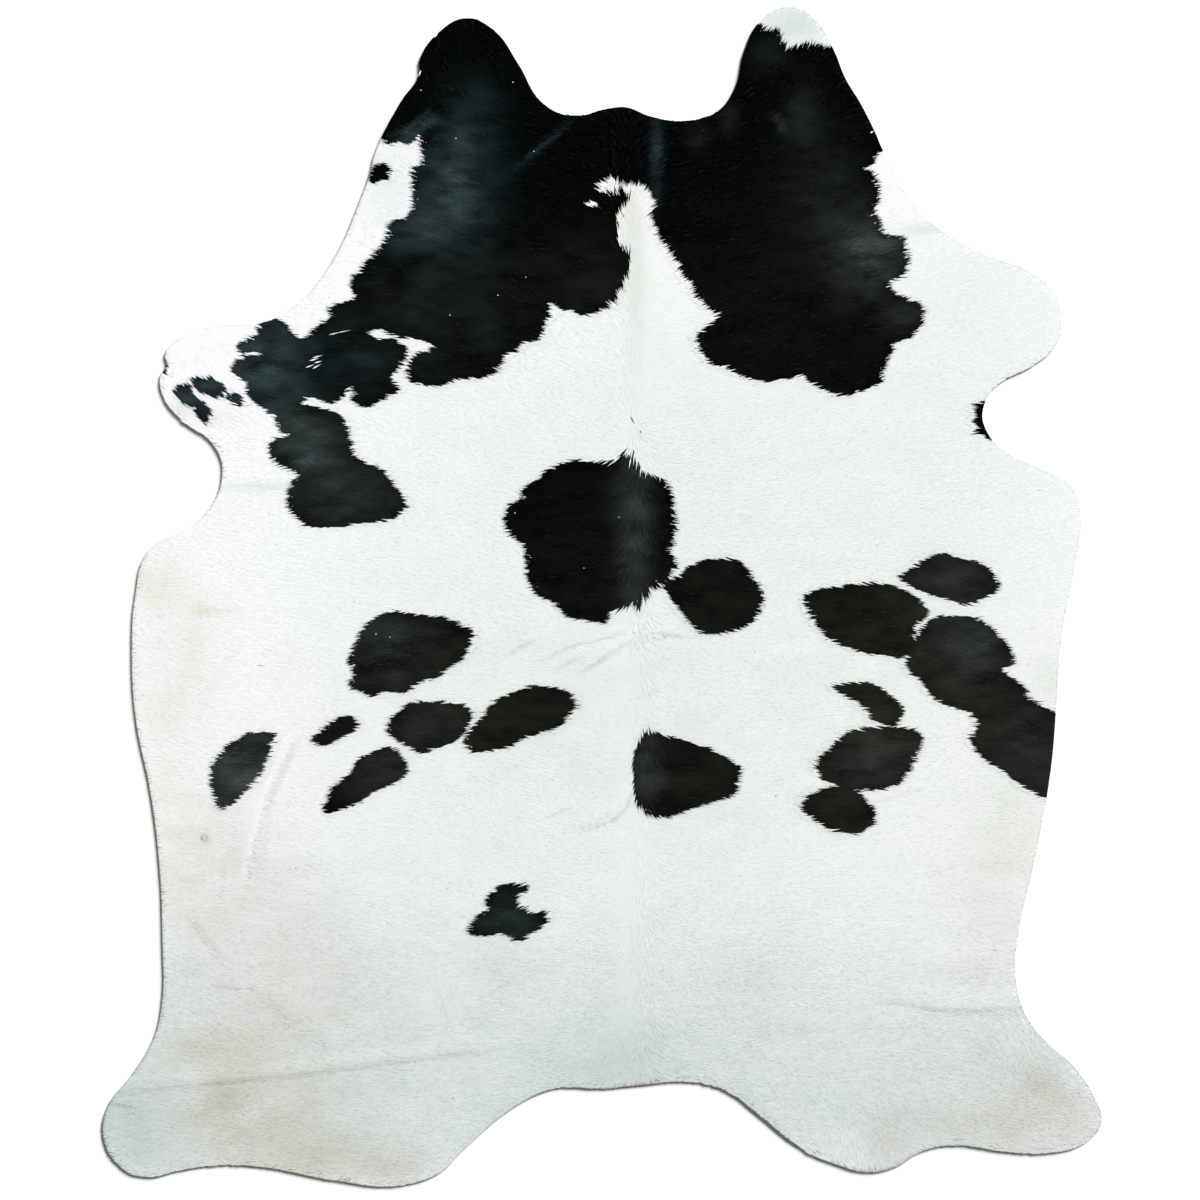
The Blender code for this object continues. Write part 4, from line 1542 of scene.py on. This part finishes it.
def lock_cells(mesh):
    """A UV map with one small square for each lock, row after row."""
    cells_across = math.ceil(math.sqrt(len(mesh.vertices) / 4))
    corner_places = np.array(((0.0, 0.5), (0.4, 1.0), (0.4, 0.0), (1.0, 0.5)))
    corners = np.empty(len(mesh.loops), int)
    mesh.loops.foreach_get("vertex_index", corners)
    lock, corner = corners // 4, corners % 4
    inside = UV_INSET + corner_places[corner] * (1 - 2 * UV_INSET)
    cell = np.column_stack((lock % cells_across, lock // cells_across))
    uv = mesh.uv_layers.new(name="OFBake")
    uv.data.foreach_set("uv", ((cell + inside) / cells_across).ravel())


def grow(name, chosen, hair):
    """One piece of coat from the chosen roots, as a plain mesh."""
    start_height = coat_top(roots[chosen])
    run = way[chosen] * reach[chosen, None]
    climb = coat_top(roots[chosen] + run) - start_height
    vectors = {
        "comb": np.column_stack((way[chosen], climb / reach[chosen])),
        "upright": coat_normal(roots[chosen] + run * MIDDLE),
    }
    mesh = bpy.data.meshes.new(name)
    mesh.vertices.add(len(chosen))
    starts = np.column_stack((roots[chosen], start_height + ROOT_HEIGHT + raised[chosen]))
    mesh.vertices.foreach_set("co", starts.ravel())
    fields = {key: values[chosen] for key, values in looks.items()}
    fields |= {"reach": reach[chosen], "breadth": breadth[chosen], "ragged": ragged[chosen]}
    fields["loft"] = (1 + SPINE_LOFT * spine_coat - HIND_LOFT * hind_coat)[chosen] * np.clip(
        reach[chosen] / LOCK_LENGTH * LOFT_BY_LENGTH, LEAST_LOFT, 1.0)
    for key, values in fields.items():
        layer = mesh.attributes.new(key, "FLOAT", "POINT")
        layer.data.foreach_set("value", values.astype(np.float32))
    for key, values in vectors.items():
        layer = mesh.attributes.new(key, "FLOAT_VECTOR", "POINT")
        layer.data.foreach_set("vector", values.astype(np.float32).ravel())
    coat = bpy.data.objects.new(name, mesh)
    collection.objects.link(coat)
    laying = coat.modifiers.new("lay the locks", "NODES")
    laying.node_group = laying_tree
    names = {item.name: item.identifier for item in laying_tree.interface.items_tree}
    laying[names["Lock"]] = hair_lock
    laying[names["Hair"]] = hair
    for key, _, value in LOCK_INPUTS:
        laying[names[key]] = value
    grown = bpy.data.meshes.new_from_object(
        coat.evaluated_get(bpy.context.evaluated_depsgraph_get())
    )
    coat.modifiers.remove(laying)
    coat.data = grown
    bpy.data.meshes.remove(mesh)
    grown.name = name
    lock_cells(grown)
    print(name, len(chosen), "locks,", len(grown.polygons), "faces")
    return coat


along_tone = lock_mesh.attributes.new("along", "FLOAT", "POINT")
along_tone.data.foreach_set("value", (0.0, WIDEST_AT, WIDEST_AT, 1.0))

black_roots = np.flatnonzero(is_black & keep)
white_roots = np.flatnonzero(~is_black & keep)
black_roots = black_roots[np.argsort(-roots[black_roots, 1], kind="stable")]
white_roots = white_roots[np.argsort(-roots[white_roots, 1], kind="stable")]
coat_pieces = []
for part, chosen in enumerate(np.array_split(black_roots, 2), 1):
    coat_pieces.append(grow(f"black_coat_{part}", chosen, black_hair))
for part, chosen in enumerate(np.array_split(white_roots, 4), 1):
    coat_pieces.append(grow(f"white_coat_{part}", chosen, white_hair))

# %% [markdown]
# ## The hide's own UV map
#
# The two faces lie flat side by side in the map. The two bands of the cut edge are thin
# strips above them, so nothing overlaps.

# %% Map the hide
MAP_WIDTH, MAP_INSET = 0.98, 0.005     # shares of the map
FACE_GAP = 0.02                        # metres between the two faces
STRIPS_AT, STRIP_STEP, STRIP_HEIGHT = 0.70, 0.05, 0.02
MAP_SCALE = MAP_WIDTH / (2 * (hide_high.x - hide_low.x) + FACE_GAP)


def hide_map(mesh):
    """OFBake map: the upper face on the left, the underside on the right, then the edge."""
    uv = mesh.uv_layers.new(name="OFBake")
    width = hide_high.x - hide_low.x
    strip = 0
    for face in mesh.polygons:
        of_edge = len(face.vertices) == 4
        for turn, loop in enumerate(face.loop_indices):
            x, y, _ = mesh.vertices[mesh.loops[loop].vertex_index].co
            u, v = (x - hide_low.x) * MAP_SCALE, (y - hide_low.y) * MAP_SCALE
            if face.material_index == SUEDE:
                u += (width + FACE_GAP) * MAP_SCALE
            if of_edge:
                u = (strip // 2 + (turn in (1, 2))) / len(rim_ring) * MAP_WIDTH
                v = STRIPS_AT + STRIP_STEP * (strip % 2) + STRIP_HEIGHT * (turn in (2, 3))
            uv.data[loop].uv = (u + MAP_INSET, v + MAP_INSET)
        strip += of_edge


hide_map(hide_mesh)
print("hide map scale", round(MAP_SCALE, 4))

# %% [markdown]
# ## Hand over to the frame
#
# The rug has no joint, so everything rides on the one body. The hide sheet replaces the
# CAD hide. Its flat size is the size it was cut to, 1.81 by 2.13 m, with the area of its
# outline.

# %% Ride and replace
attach(hide_sheet, "root")
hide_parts("hide")
for piece in coat_pieces:
    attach(piece, "root")
made = (hide_sheet, *coat_pieces)
triangles = sum(len(face.vertices) - 2 for piece in made for face in piece.data.polygons)
print(triangles, "triangles in", len(made), "pieces")
